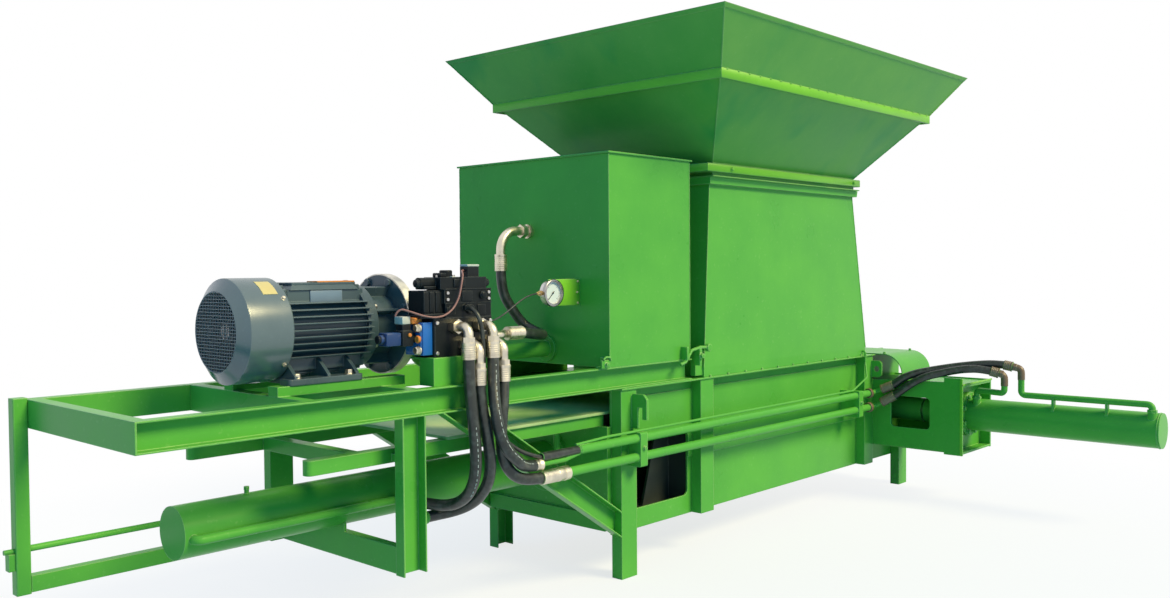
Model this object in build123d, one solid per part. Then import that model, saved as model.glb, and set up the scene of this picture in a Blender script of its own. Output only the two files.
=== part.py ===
"""Side-ejecting square baler: power frame, baling chamber, feed hopper and two hydraulic rams."""

import os
from math import atan2, cos, radians, sin, tan

from build123d import *

# Sizes are in millimetres. X runs from the power unit to the bale end, Y from the working side to
# the rear and Z up. Places are counted from the left face of the main legs, on the working side,
# at the floor, and the finished pieces are moved so that the origin lies under the middle.

# Rolled steel sections
BEAM_H, BEAM_B = 103, 50
LEG_H, LEG_B = 110, 60
SECTION_T = 6
TUBE = 50
PIN_L = 34

# Main places along the machine
FRAME_X = -2261
MID_LEG_X = -1255
REAR_MID_LEG_X = -1300
RIB_X = 620
RIGHT_RIB_X = 2350
REAR_RIB_X = 2290
END_X = 2936
END_T, END_RIB = 12, 50
DEPTH = 910
MIDDLE_Y = DEPTH / 2

# Main levels
SHORT_FOOT_Z = 292
CHAMBER_Z = 200
LEDGE_Z = 891
LEDGE_T = 8
BEAM_TOP = LEDGE_Z + BEAM_H

# Baling chamber
WALL_T = 10
FLOOR_T = 12
FLOOR_TOP = 228
ROOF_Z = 790
WINDOW_X, WINDOW_Z = (130, 585), (295, 620)
WINDOW_R = 30
DOUBLER_Z = (490, 835)
DOUBLER_T = 6
POCKET_X = 2450
RUN_GAP = 0.3
SIDE_GAP = 5

# Main ram
RAM_FACE_X = 640
PLATEN_T = 40
COVER_TAIL_X = -955
COVER_T = 12
RAM_STROKE = 1810
AXIS_Z = 515
ROD_R = 50
CYL_R, CYL_BORE_R = 97, 80
CYL_X = -1917
HEAD_X = (-40, 60)
CAP_T = 15
PISTON_T = 45
PISTON_GAP = 8
FIT = 0.05
HEAD_PLATE_T = 30
RAIL = 50
RAIL_FRONT_X, RAIL_REAR_X = -1592, -1712
RAIL_Y = 110
RAIL_TOP = 765
RAIL_H = 55

# Side ram
SIDE_W = 413
SIDE_X = (2476, 2476 + SIDE_W)
SIDE_WALL_T = 16
SIDE_Z = (326, 716)
SIDE_DEPTH = 580
SIDE_AXIS_Z = 535
SIDE_WINDOW_Y, SIDE_WINDOW_Z = (-378, -123), (SIDE_AXIS_Z - 90, SIDE_AXIS_Z + 105)
SIDE_CYL_R, SIDE_BORE_R = 98, 82
SIDE_NOSE_R, SIDE_NOSE_Y = 78, -265
SIDE_CYL_END = -1612
SIDE_MOUNT_Y, SIDE_MOUNT_T = -515, 25
SIDE_ROD_R = 45
SIDE_PISTON_T = 50
SIDE_PIPE_R = 18
PUSH_T = 40
PUSH_GAP = 6
PUSH_STROKE = 765
BOSS_R, BOSS_Y = 74, -250

# Throat and hopper, each level as (x0, x1, y0, y1, z)
SKIRT = (649, 2360, 0, DEPTH, LEDGE_Z)
SKIRT_H = 50
THROAT_TOP = (750, 2245, 35, DEPTH - 35, 1915)
SHEET = 5
NECK_TOP = (745, 2230, 12, DEPTH - 12, 1990)
NECK_RING = (670, 2262, -12, DEPTH + 12, 1939)
NECK_RING_H = 42
COLLAR = (310, 2483, -349, DEPTH + 264, 2357)
RIM = (107, 2677, -512, DEPTH + 439, 2599)
COLLAR_H, COLLAR_T = 40, 8
RIM_T = 4

# Oil tank
TANK_X, TANK_D = (-77, 531), DEPTH + 121
TANK_TOP = 1975
TANK_SHEET = 5
LID_T, LID_LIP = 8, 10

# Motor
MOTOR_Y = 400
PAD_H = 36
SHAFT_HEIGHT = 198
MOTOR_Z = BEAM_TOP + PAD_H + SHAFT_HEIGHT
COWL_X, COWL_R, COWL_NOSE, COWL_T = -1785, 195, 35, 3
GRILLE_R = 148
BODY_X = (-1585, -1215)
SHIELD_R, SHIELD_RIBS = 126, 8
CORE_R, FIN_R, FIN_T = 150, 182, 5
FIN_PITCH, FIN_ROWS = 25, 9
FOOT_X, FOOT_SPAN, FOOT_W, FOOT_T = (-1604, -1281), 318, 74, 22
SHAFT_R = 30
BOX_X, BOX_SEAT, BOX_H = (-1545, -1240), 148, 28
FLANGE_X, FLANGE_R, FLANGE_T = -1063, 205, 22
BELL_L = 110
PUMP_R, PUMP_L, PUMP_SHAFT_R = 85, 140, 20

# Valve stack
BLOCK_X, BLOCK_Y, BLOCK_Z = (-1048, -744), (60, 185), (1104, 1257)
SPACER_H = 58
PORT_X = (-953, -899, -824, -768)
PORT_Z = (1223, 1150, 1223, 1150)
FERRULE_Z = (1095, 990, 1095, 995)
ELBOW_Y = -32
ELBOW_R = 20
HOSE_D = 48
FERRULE_R = 28

# Pipe runs along the working side
PIPE_R = 21
PIPE_Y = -50
UPPER_PIPE_Z, LOWER_PIPE_Z = 660, 572
UPPER_PIPE_X, LOWER_PIPE_X = (-341, 2300), (-412, 2300)
SLEEVE_L, SLEEVE_R = 234, 18
CLAMP_X, CLAMP_W = (50, 2140), 50

# Ends of the hoses
RETURN_END = (-439, 200, 1168)
RETURN_TOP = (-265, 520, 1440)
CAP_END = (-972, MIDDLE_Y - 163, 490)
CAP_CORNER = (-1028, MIDDLE_Y - 123, 503)
ROD_END = (-940, MIDDLE_Y - 193, 424)
ROD_PIPE_Z = 692
UPPER_END = (-615, -50, 630)
LOWER_END = (-578, -50, 572)
SIDE_START = ((2427, -155, 708), (2418, -170, 646))
SIDE_CORNER = ((2400, -50, 660), (2385, -50, 572))
SIDE_DROP = ((2614, -770, 856), (2556, -712, 820))
SIDE_RISER = ((2630, -866, 838), (2580, -786, 800))
SIDE_PORT = ((2630, -1570), (2630, -600))
SIDE_RUN_Z = (682, 690)
PILOT_START, PILOT_END = (-885, 48, 1296), (-575, -50, 660)
WIRE_ENDS = ((-840, 123, 1445), (-1185, 130, 1270))

# Pressure gauge
GAUGE = (-285, 150, 1340)
GAUGE_R, GAUGE_DEPTH = 56, 35
GAUGE_TAKEOFF = (-744, 140, 1224)

INNER_Y = (LEG_B + WALL_T, DEPTH - LEG_B - WALL_T)
FLOW_X, FLOW_Y, FLOW_Z = Vector(1, 0, 0), Vector(0, 1, 0), Vector(0, 0, 1)


def block(x, y, z):
    """Square-cornered block between two places on each axis."""
    low = Align.MIN
    return Pos(x[0], y[0], z[0]) * Box(x[1] - x[0], y[1] - y[0], z[1] - z[0], align=(low, low, low))


def round_bar(start, end, radius):
    """Round bar between two points."""
    run = Vector(*end) - Vector(*start)
    base = Plane(origin=start, z_dir=run.normalized())
    return base * Cylinder(radius, run.length, align=(Align.CENTER, Align.CENTER, Align.MIN))


def hex_bar(start, end, across):
    """Hexagon bar between two points, given its size across the flats."""
    run = Vector(*end) - Vector(*start)
    return extrude(Plane(origin=start, z_dir=run.normalized()) * RegularPolygon(across / 2, 6, major_radius=False),
                   amount=run.length)


def channel(start, run, opens, length, height, flange, thick=SECTION_T):
    """Rolled channel: its web's back is centred on start and its flanges point to opens."""
    half = height / 2
    outline = Polyline((0, -half), (flange, -half), (flange, -half + thick), (thick, -half + thick),
                       (thick, half - thick), (flange, half - thick), (flange, half), (0, half), close=True)
    return extrude(Plane(origin=start, x_dir=opens, z_dir=run) * make_face(outline), amount=length)


def bent_tube(points, radius, bend):
    """Round tube along straight runs with one bend radius."""
    path = FilletPolyline(*points, radius=bend)
    return sweep(Plane(origin=path @ 0, z_dir=path % 0) * Circle(radius), path=path)


def level(rect, grow=0.0):
    """Rectangle of a tapering shell at its own height, grown or shrunk all round."""
    x0, x1, y0, y1, z = rect
    centre = Plane(origin=((x0 + x1) / 2, (y0 + y1) / 2, z))
    return centre * Rectangle(x1 - x0 + 2 * grow, y1 - y0 + 2 * grow)


def funnel(low, high, wall):
    """Four tapering walls between two levels."""
    return loft([level(low), level(high)]) - loft([level(low, -wall), level(high, -wall)])


def between(low, high, z):
    """Level of a taper at height z."""
    share = (z - low[4]) / (high[4] - low[4])
    return tuple(a + (b - a) * share for a, b in zip(low[:4], high[:4])) + (z,)


def ring_band(rect, out, height):
    """Flat bar bent round a level, standing out from the sheet."""
    x0, x1, y0, y1, z = rect
    outer = block((x0 - out, x1 + out), (y0 - out, y1 + out), (z, z + height))
    return outer - block((x0, x1), (y0, y1), (z, z + height))


def mirrored(shape):
    """The same piece on the rear side of the machine."""
    return mirror(shape, about=Plane.XZ.offset(-MIDDLE_Y))


# Power frame

def front_beam():
    length = SKIRT[0] - 102 - FRAME_X - SECTION_T
    return channel((FRAME_X + SECTION_T, BEAM_B, LEDGE_Z + BEAM_H / 2), FLOW_X, -FLOW_Y, length, BEAM_H, BEAM_B)


def cross_members():
    mid_z = LEDGE_Z + BEAM_H / 2
    end = channel((FRAME_X, 0, mid_z), FLOW_Y, FLOW_X, DEPTH, BEAM_H, BEAM_B)
    for y in ((0, BEAM_B), (DEPTH - BEAM_B, DEPTH)):
        end -= block((FRAME_X + SECTION_T, FRAME_X + BEAM_B), y, (LEDGE_Z, BEAM_TOP))
    pieces = [end]
    for x in (FOOT_X[0] - 46, FOOT_X[1] + 86):
        pieces.append(channel((x, BEAM_B, mid_z), FLOW_Y, FLOW_X, DEPTH - 2 * BEAM_B, BEAM_H, BEAM_B))
    # bars under the motor's feet
    for side in (-1, 1):
        y = MOTOR_Y + side * FOOT_SPAN / 2
        pieces.append(block((FOOT_X[0] - 46, FOOT_X[1] + 200), (y - 32, y + 32), (BEAM_TOP, BEAM_TOP + PAD_H)))
    return pieces


def left_legs():
    height = LEDGE_Z - SHORT_FOOT_Z
    front = channel((MID_LEG_X + LEG_H / 2, BEAM_B, SHORT_FOOT_Z), FLOW_Z, -FLOW_Y, height, LEG_H, BEAM_B)
    rear = channel((REAR_MID_LEG_X + LEG_H / 2, DEPTH - BEAM_B, SHORT_FOOT_Z), FLOW_Z, FLOW_Y, height, LEG_H, BEAM_B)
    post_y = (DEPTH - TUBE, DEPTH)
    post = block((FRAME_X - TUBE, FRAME_X), post_y, (SHORT_FOOT_Z, BEAM_TOP + SECTION_T))
    post = fillet(post.edges().filter_by(Axis.Z), 5)
    return [front, rear, post]


def leg_braces():
    brace_z = SHORT_FOOT_Z + 4 + BEAM_H / 2
    cross = channel((MID_LEG_X + 5, BEAM_B, brace_z), FLOW_Y, FLOW_X, DEPTH - 2 * BEAM_B, BEAM_H, BEAM_B - 10)
    saddle = block((MID_LEG_X + 5, MID_LEG_X + 17), (MIDDLE_Y - 60, MIDDLE_Y + 60), (brace_z + BEAM_H / 2, AXIS_Z - 60))
    saddle -= round_bar((MID_LEG_X, MIDDLE_Y, AXIS_Z), (MID_LEG_X + 40, MIDDLE_Y, AXIS_Z), CYL_R)
    rail = block((FRAME_X, REAR_MID_LEG_X), (DEPTH - TUBE, DEPTH - 10), (SHORT_FOOT_Z + 5, SHORT_FOOT_Z + 65))
    tie_z = 452
    tie_y = DEPTH - TUBE / 2
    tie = round_bar((FRAME_X, tie_y, tie_z), (REAR_MID_LEG_X, tie_y, tie_z), 12)
    stub = block((FRAME_X - TUBE - 22, FRAME_X - TUBE), (tie_y - 15, tie_y + 20), (tie_z - 70, tie_z - 8))
    pin = round_bar((FRAME_X - TUBE - PIN_L, tie_y, tie_z), (FRAME_X - TUBE, tie_y, tie_z), 9)
    return [cross + saddle, rail, tie, stub + pin]


def slide_rails():
    """Two square rails with rounded ends, their cross member and the brackets on the middle legs."""
    z = (RAIL_TOP - RAIL_H, RAIL_TOP)
    frame = None
    for x0, y0 in ((RAIL_FRONT_X, RAIL_Y), (RAIL_REAR_X, DEPTH - RAIL_Y - RAIL)):
        rail = block((x0, 0), (y0, y0 + RAIL), z)
        rail = fillet(rail.edges().filter_by(Axis.Z).group_by(Axis.X)[0], 20)
        frame = rail if frame is None else frame + rail
    frame += block((-1395, -1345), (RAIL_Y + RAIL, DEPTH - RAIL_Y - RAIL), z)
    frame += block((MID_LEG_X + 30, MID_LEG_X + 80), (BEAM_B, RAIL_Y), (z[0] + 5, z[1] - 20))
    rear_y = (DEPTH - RAIL_Y, DEPTH - BEAM_B)
    return frame + block((REAR_MID_LEG_X + 30, REAR_MID_LEG_X + 80), rear_y, (z[0] + 5, z[1] - 20))


def diagonal_brace():
    """Channel from under the beam down to the foot of the main leg."""
    foot_z, reach = 260, 965
    rise = LEDGE_Z - foot_z
    angle = atan2(rise, reach)
    along = Vector(-cos(angle), 0, sin(angle))
    start = Vector(0, BEAM_B, foot_z) - along * 200
    brace = channel(start, along, -FLOW_Y, 1700, BEAM_H, BEAM_B)
    return brace & block((-1300, 0), (0, BEAM_B), (150, LEDGE_Z))


# Baling chamber

def side_wall(front):
    """Long side wall with its thicker doubler strip; the window and both bale doors are cut out."""
    outer_y = LEG_B if front else DEPTH - LEG_B - WALL_T
    wall = block((0, END_X), (outer_y, outer_y + WALL_T), (CHAMBER_Z, LEDGE_Z - LEDGE_T))
    through = (outer_y - 20, outer_y + WALL_T + 20)
    doubler_y = (LEG_B - DOUBLER_T, LEG_B) if front else (DEPTH - LEG_B, DEPTH - LEG_B + DOUBLER_T)
    for x in ((LEG_H, RIB_X), (RIB_X + LEG_H, RIGHT_RIB_X if front else REAR_RIB_X)):
        wall += block(x, doubler_y, DOUBLER_Z)
    if front:
        window = block(WINDOW_X, through, WINDOW_Z)
        window = fillet(window.edges().filter_by(Axis.Y).group_by(Axis.X)[-1], WINDOW_R)
        wall -= window
        wall -= block(SIDE_X, through, SIDE_Z)
    else:
        wall -= block((POCKET_X, END_X - 20), through, (FLOOR_TOP, ROOF_Z))
        frame = block((POCKET_X - 40, END_X), (DEPTH - LEG_B, DEPTH - LEG_B + 40), (FLOOR_TOP - 28, ROOF_Z + 40))
        wall += frame - block((POCKET_X, END_X - 20), (DEPTH - LEG_B, DEPTH), (FLOOR_TOP, ROOF_Z))
    return wall


def chamber_floor():
    floor = block((0, END_X), INNER_Y, (FLOOR_TOP - FLOOR_T, FLOOR_TOP))
    for x in (400, 900, 1400, 1900, 2400):
        floor += block((x, x + 12), INNER_Y, (CHAMBER_Z, FLOOR_TOP - FLOOR_T))
    return floor


def chamber_roof():
    """Plate over the ram ahead of the throat, and the boxed roof of the bale pocket."""
    top = (LEDGE_Z - 12, LEDGE_Z)
    left = block((0, SKIRT[0]), (INNER_Y[0], INNER_Y[1]), top)
    pocket = block((SKIRT[1], END_X), INNER_Y, (ROOF_Z, ROOF_Z + 12))
    pocket += block((SKIRT[1], END_X), INNER_Y, top)
    pitch = (END_X - 12 - SKIRT[1]) / 3
    for x in (SKIRT[1], SKIRT[1] + pitch, SKIRT[1] + 2 * pitch, END_X - 12):
        pocket += block((x, x + 12), INNER_Y, (ROOF_Z + 12, top[0]))
    return [left, pocket]


def end_wall():
    back = END_X + END_T
    wall = block((END_X, back), (LEG_B, DEPTH - LEG_B), (CHAMBER_Z, LEDGE_Z))
    for y in (LEG_B + 140, MIDDLE_Y - END_T / 2, DEPTH - LEG_B - 140 - END_T):
        wall += block((back, back + END_RIB), (y, y + END_T), (CHAMBER_Z, LEDGE_Z))
    return wall


def front_uprights():
    """Main leg, two ribs and the far leg, as channels with their webs outward, and the lifting hooks."""
    top = LEDGE_Z - LEDGE_T
    pieces = [channel((LEG_H / 2, 0, 0), FLOW_Z, FLOW_Y, top, LEG_H, LEG_B)]
    for x in (RIB_X, RIGHT_RIB_X):
        pieces.append(channel((x + LEG_H / 2, 0, CHAMBER_Z), FLOW_Z, FLOW_Y, top - CHAMBER_Z, LEG_H, LEG_B))
    far_top = SIDE_Z[0] - SIDE_WALL_T
    pieces.append(channel((END_X - LEG_H / 2, 0, 0), FLOW_Z, FLOW_Y, far_top, LEG_H, LEG_B))
    hook, eye = lifting_hooks()
    return [pieces[0] + hook, pieces[1], pieces[2] + eye, pieces[3]]


def rear_uprights():
    top = LEDGE_Z - LEDGE_T
    pieces = []
    for x, foot, high in ((0, 0, top), (RIB_X, CHAMBER_Z, top), (REAR_RIB_X, CHAMBER_Z, top),
                          (END_X - LEG_H, 0, CHAMBER_Z)):
        pieces.append(channel((x + LEG_H / 2, DEPTH, foot), FLOW_Z, -FLOW_Y, high - foot, LEG_H, LEG_B))
    return pieces


def lifting_hooks():
    """Plate hooks on the working side: one open downwards on the main leg, one closed on the rib."""
    outline = make_face(Polyline((0, 700), (0, 862), (-70, 862), (-90, 840), (-90, 745), (-64, 745),
                                 (-64, 800), (-36, 800), (-36, 700), close=True))
    outline = fillet(outline.vertices().group_by(Axis.Y)[-1], 12)
    hook = extrude(Plane(origin=(76, 0, 0), x_dir=FLOW_Y, z_dir=FLOW_X) * outline, amount=14)
    eye = block((2440, 2454), (-70, 0), (749, 853))
    eye = fillet(eye.edges().filter_by(Axis.X).group_by(Axis.Y)[0], 25)
    eye -= round_bar((2430, -35, 801), (2460, -35, 801), 18)
    return [hook, eye]


def chamber_sills():
    """Long flat ledges over the uprights, the cross channel at the ram end and the cylinder's head plate."""
    ledge = block((0, END_X), (-8, LEG_B + WALL_T), (LEDGE_Z - LEDGE_T, LEDGE_Z))
    sill = channel((-BEAM_B, LEG_B, 261), FLOW_Y, FLOW_X, DEPTH - 2 * LEG_B, 70, BEAM_B)
    plate = block((-HEAD_PLATE_T, 0), (LEG_B, DEPTH - LEG_B), (261 + 35, RAIL_TOP - RAIL_H))
    plate -= round_bar((-HEAD_PLATE_T, MIDDLE_Y, AXIS_Z), (0, MIDDLE_Y, AXIS_Z), CYL_BORE_R + 10)
    return [ledge, mirrored(ledge), sill, plate]


# Throat and hopper

def throat():
    """Straight skirt, tapering walls and a top flange, with a stiffener on the bale side."""
    skirt_top = SKIRT[:4] + (SKIRT[4] + SKIRT_H,)
    flange_low = between(skirt_top, THROAT_TOP, THROAT_TOP[4] - 36)
    body = funnel(SKIRT, skirt_top, SHEET) + funnel(skirt_top, THROAT_TOP, SHEET)
    flange = loft([level(flange_low, 22), level(THROAT_TOP, 28)])
    body += flange - loft([level(flange_low, -SHEET), level(THROAT_TOP, -SHEET)])
    for y in (150, DEPTH - 160):
        web = Polyline((SKIRT[1] - 5, SKIRT[4] + 10), (SKIRT[1] + 60, SKIRT[4] + 10), (SKIRT[1] + 60, 1700),
                       (THROAT_TOP[1] + 10, THROAT_TOP[4] - 40), close=True)
        body += extrude(Plane(origin=(0, y + 10, 0), x_dir=FLOW_X, z_dir=-FLOW_Y) * make_face(web), amount=10)
    lug = block((SKIRT[0] - 60, SKIRT[0]), (10, 40), (SKIRT[4] + 12, BEAM_TOP + 45))
    lug = fillet(lug.edges().filter_by(Axis.Y).group_by(Axis.Z)[-1], 14)
    lug += round_bar((SKIRT[0] - 36, -14, BEAM_TOP + 28), (SKIRT[0] - 36, 10, BEAM_TOP + 28), 12)
    return body + lug


def hopper_lower():
    """Short straight neck with its bolting ring, flaring out to the collar."""
    neck_low = (NECK_TOP[0], NECK_TOP[1], NECK_TOP[2], NECK_TOP[3], THROAT_TOP[4])
    body = funnel(neck_low, NECK_TOP, SHEET) + funnel(NECK_TOP, COLLAR, SHEET)
    body += ring_band((*neck_low[:4], THROAT_TOP[4]), 26, 6)
    body += block(NECK_RING[:2], NECK_RING[2:4], (NECK_RING[4], NECK_RING[4] + NECK_RING_H)) - \
        block(NECK_TOP[:2], NECK_TOP[2:4], (NECK_RING[4], NECK_RING[4] + NECK_RING_H))
    low = between(NECK_TOP, COLLAR, COLLAR[4] - COLLAR_H)
    band = block((COLLAR[0] - COLLAR_T, COLLAR[1] + COLLAR_T), (COLLAR[2] - COLLAR_T, COLLAR[3] + COLLAR_T),
                 (COLLAR[4] - COLLAR_H, COLLAR[4]))
    band -= block((COLLAR[0], COLLAR[1]), (COLLAR[2], COLLAR[3]), (COLLAR[4] - COLLAR_H, COLLAR[4] - COLLAR_T))
    return body + (band - loft([level(low), level(COLLAR)]))


def hopper_upper():
    """Upper flare with a ring on the collar joint and a rim band."""
    body = funnel(COLLAR, RIM, SHEET)
    high = between(COLLAR, RIM, COLLAR[4] + 8)
    body += block((COLLAR[0] - COLLAR_T, COLLAR[1] + COLLAR_T), (COLLAR[2] - COLLAR_T, COLLAR[3] + COLLAR_T),
                  (COLLAR[4], high[4])) - loft([level(COLLAR), level(high)])
    low = between(COLLAR, RIM, RIM[4] - 18)
    body += loft([level(low, RIM_T), level(RIM, RIM_T)]) - loft([level(low), level(RIM)])
    return body


# Oil tank

def oil_tank():
    """Welded box with two foot lugs and the gauge plate."""
    tank = block(TANK_X, (0, TANK_D), (BEAM_TOP, TANK_TOP))
    t = TANK_SHEET
    tank -= block((TANK_X[0] + t, TANK_X[1] - t), (t, TANK_D - t), (BEAM_TOP + t, TANK_TOP))
    for y in (8, DEPTH - BEAM_B - 4):
        tank += block((TANK_X[0] - 34, TANK_X[0]), (y, y + 44), (BEAM_TOP, BEAM_TOP + 6))
        tank += block((TANK_X[0] - 6, TANK_X[0]), (y, y + 44), (BEAM_TOP, BEAM_TOP + 46))
    plate_y = GAUGE[1] + GAUGE_DEPTH
    return tank + block((GAUGE[0], TANK_X[0]), (plate_y, plate_y + 4), (GAUGE[2] - 62, GAUGE[2] + 62))


def tank_lid():
    lip = LID_LIP
    return block((TANK_X[0] - lip, TANK_X[1] + lip), (-lip, TANK_D + lip), (TANK_TOP, TANK_TOP + LID_T))


def tank_breather():
    """Filler cap with a ribbed grip on its short neck."""
    centre = (TANK_X[0] + 470, TANK_D - 130)
    z = TANK_TOP + LID_T
    neck = round_bar((*centre, z), (*centre, z + 25), 28)
    cap = round_bar((*centre, z + 25), (*centre, z + 60), 40)
    cap = fillet(cap.edges().group_by(Axis.Z)[-1], 8)
    for turn in range(12):
        a = radians(turn * 30)
        x, y = centre[0] + 41 * cos(a), centre[1] + 41 * sin(a)
        cap -= round_bar((x, y, z + 24), (x, y, z + 48), 4)
    return neck + cap


def pressure_gauge():
    """Round case with a raised bezel, a dial recess and a side stem."""
    x, y, z = GAUGE
    case = round_bar((x, y, z), (x, y + GAUGE_DEPTH, z), GAUGE_R)
    case -= round_bar((x, y, z), (x, y + 8, z), GAUGE_R - 7)
    case += round_bar((x, y + 5, z), (x, y + 8, z), 3)
    return case + hex_bar((x - GAUGE_R + 2, y + 18, z), (x - GAUGE_R - 24, y + 18, z), 14)


def gauge_needle():
    x, y, z = GAUGE
    hub = round_bar((x, y + 3, z), (x, y + 4.9, z), 4)
    hand = block((x - 1.2, x + 1.2), (y + 3.4, y + 4.4), (z - 12, z + GAUGE_R - 14))
    return Pos(x, 0, z) * (Rot(0, -135, 0) * (Pos(-x, 0, -z) * (hub + hand)))


# Motor and pump

def motor_housing():
    """Cast body: parallel fins on all four sides of a round core, end rings and feet."""
    x0, x1 = BODY_X
    y, z = MOTOR_Y, MOTOR_Z
    outline = round_bar((x0, y, z), (x1, y, z), FIN_R)
    fins = None
    for row in range(FIN_ROWS):
        off = (row - (FIN_ROWS - 1) / 2) * FIN_PITCH
        flat = block((x0, x1), (y - FIN_R, y + FIN_R), (z + off - FIN_T / 2, z + off + FIN_T / 2))
        upright = block((x0, x1), (y + off - FIN_T / 2, y + off + FIN_T / 2), (z - FIN_R, z + FIN_R))
        fins = flat + upright if fins is None else fins + flat + upright
    body = round_bar((x0, y, z), (x1, y, z), CORE_R) + (fins & outline)
    body += round_bar((x0 - 10, y, z), (x0 + 8, y, z), COWL_R - COWL_T - 0.2)
    body += round_bar((x1 - 16, y, z), (x1 + 30, y, z), FIN_R - 16)
    body += round_bar((x1 + 30, y, z), (FLANGE_X, y, z), SHIELD_R)
    rib = block((x1 + 30, FLANGE_X), (y - 5, y + 5), (z + SHIELD_R - 4, z + FIN_R - 16))
    for turn in range(SHIELD_RIBS):
        body += rib.rotate(Axis((x0, y, z), (1, 0, 0)), (turn + 0.5) * 360 / SHIELD_RIBS)
    for side in (-1, 1):
        foot_y = y + side * FOOT_SPAN / 2
        edge = (foot_y - FOOT_W / 2, foot_y + FOOT_W / 2)
        foot_z = BEAM_TOP + PAD_H
        foot = block(FOOT_X, edge, (foot_z, foot_z + FOOT_T))
        foot = fillet(foot.edges().filter_by(Axis.Z), 14)
        for x in (BODY_X[0] + 12, (BODY_X[0] + FOOT_X[1]) / 2, FOOT_X[1] - 26):
            web = Polyline((y, foot_z), (foot_y + side * 22, foot_z), (foot_y + side * 22, foot_z + FOOT_T + 8),
                           (y + side * 110, z - 110), (y, z - 110), close=True)
            foot += extrude(Plane(origin=(x, 0, 0), x_dir=FLOW_Y, z_dir=FLOW_X) * make_face(web), amount=14)
        for x in (FOOT_X[0] + 48, FOOT_X[1] - 48):
            foot -= round_bar((x, foot_y + side * 8, foot_z), (x, foot_y + side * 8, foot_z + FOOT_T), 9)
        body += foot
    body += block((BOX_X[0] - 8, BOX_X[1] + 8), (y - 106, y + 106), (z + 95, z + BOX_SEAT))
    body -= block((BOX_X[0] - 8, BOX_X[1] + 8), (y - 125, y + 125), (z + BOX_SEAT, z + FIN_R))
    return body - round_bar((x0 - 20, y, z), (FLANGE_X + 10, y, z), SHAFT_R + FIT)


def fan_cowl():
    """Pressed cover over the fan with a slotted grille in its nose."""
    x0 = COWL_X
    back = BODY_X[0] + 4
    outer = Polyline((x0, 0), (x0, GRILLE_R), (x0 + 8, GRILLE_R + 8), (x0 + COWL_NOSE, COWL_R), (back, COWL_R),
                     (back, COWL_R - COWL_T), (x0 + COWL_NOSE + 2, COWL_R - COWL_T), (x0 + 10, GRILLE_R + 5),
                     (x0 + COWL_T + 1, GRILLE_R - 2), (x0 + COWL_T + 1, 0), close=True)
    place = Plane(origin=(0, MOTOR_Y, MOTOR_Z), x_dir=FLOW_X, z_dir=FLOW_Y)
    cowl = revolve(place * make_face(outer), axis=Axis((0, MOTOR_Y, MOTOR_Z), (1, 0, 0)))
    slots = None
    for row in range(-6, 7):
        z = MOTOR_Z + row * 20
        reach = (136 ** 2 - (abs(row) * 20 + 5) ** 2) ** 0.5
        for side in ((-reach, -5), (5, reach)):
            slot = block((x0 - 1, x0 + 6), (MOTOR_Y + side[0], MOTOR_Y + side[1]), (z - 5, z + 5))
            slots = slot if slots is None else slots + slot
    return cowl - slots


def cooling_fan():
    x = COWL_X + 45
    hub = round_bar((x, MOTOR_Y, MOTOR_Z), (x + 60, MOTOR_Y, MOTOR_Z), 50)
    hub += round_bar((x + 52, MOTOR_Y, MOTOR_Z), (x + 60, MOTOR_Y, MOTOR_Z), 150)
    blade = block((x + 4, x + 54), (MOTOR_Y - 3, MOTOR_Y + 3), (MOTOR_Z + 46, MOTOR_Z + 165))
    for turn in range(8):
        hub += blade.rotate(Axis((x, MOTOR_Y, MOTOR_Z), (1, 0, 0)), turn * 45)
    return hub - round_bar((x - 1, MOTOR_Y, MOTOR_Z), (x + 61, MOTOR_Y, MOTOR_Z), SHAFT_R)


def motor_shaft():
    return round_bar((COWL_X + 40, MOTOR_Y, MOTOR_Z), (FLANGE_X + FLANGE_T + 50, MOTOR_Y, MOTOR_Z), SHAFT_R)


def terminal_box():
    """Cast box with sloping sides on top of the motor, with a lid and a cable gland."""
    length, z = BOX_X[1] - BOX_X[0], MOTOR_Z + BOX_SEAT
    middle = (BOX_X[0] + BOX_X[1]) / 2
    base, top = Plane(origin=(middle, MOTOR_Y, z)), Plane(origin=(middle, MOTOR_Y, z + BOX_H - 8))
    box = loft([base * Rectangle(length, 226), top * Rectangle(length - 36, 196)])
    lid = block((BOX_X[0] + 14, BOX_X[1] - 14), (MOTOR_Y - 100, MOTOR_Y + 100), (z + BOX_H - 8, z + BOX_H))
    return box + fillet(lid.edges().filter_by(Axis.Z), 10)


def motor_flange():
    """Drive-end shield: a short hub and the wide mounting flange."""
    x = FLANGE_X
    shield = round_bar((x, MOTOR_Y, MOTOR_Z), (x + FLANGE_T, MOTOR_Y, MOTOR_Z), FLANGE_R)
    for turn in range(8):
        a = radians(turn * 45 + 22.5)
        y, z = MOTOR_Y + 184 * cos(a), MOTOR_Z + 184 * sin(a)
        shield += hex_bar((x - 12, y, z), (x, y, z), 28)
    return shield - round_bar((x - 1, MOTOR_Y, MOTOR_Z), (x + FLANGE_T, MOTOR_Y, MOTOR_Z), SHAFT_R + FIT)


def bell_housing():
    """Cast bell between the motor flange and the pump, open inside round the coupling."""
    x = FLANGE_X + FLANGE_T
    end = x + BELL_L
    outline = Polyline((x, 90), (x, FLANGE_R), (x + 22, FLANGE_R), (x + 22, 160), (end - 25, 108), (end, 108),
                       (end, 40), (end - 12, 40), (end - 12, 80), (x + 30, 130), (x + 4, 130), (x + 4, 90), close=True)
    place = Plane(origin=(0, MOTOR_Y, MOTOR_Z), x_dir=FLOW_X, z_dir=FLOW_Y)
    return revolve(place * make_face(outline), axis=Axis((0, MOTOR_Y, MOTOR_Z), (1, 0, 0)))


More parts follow.
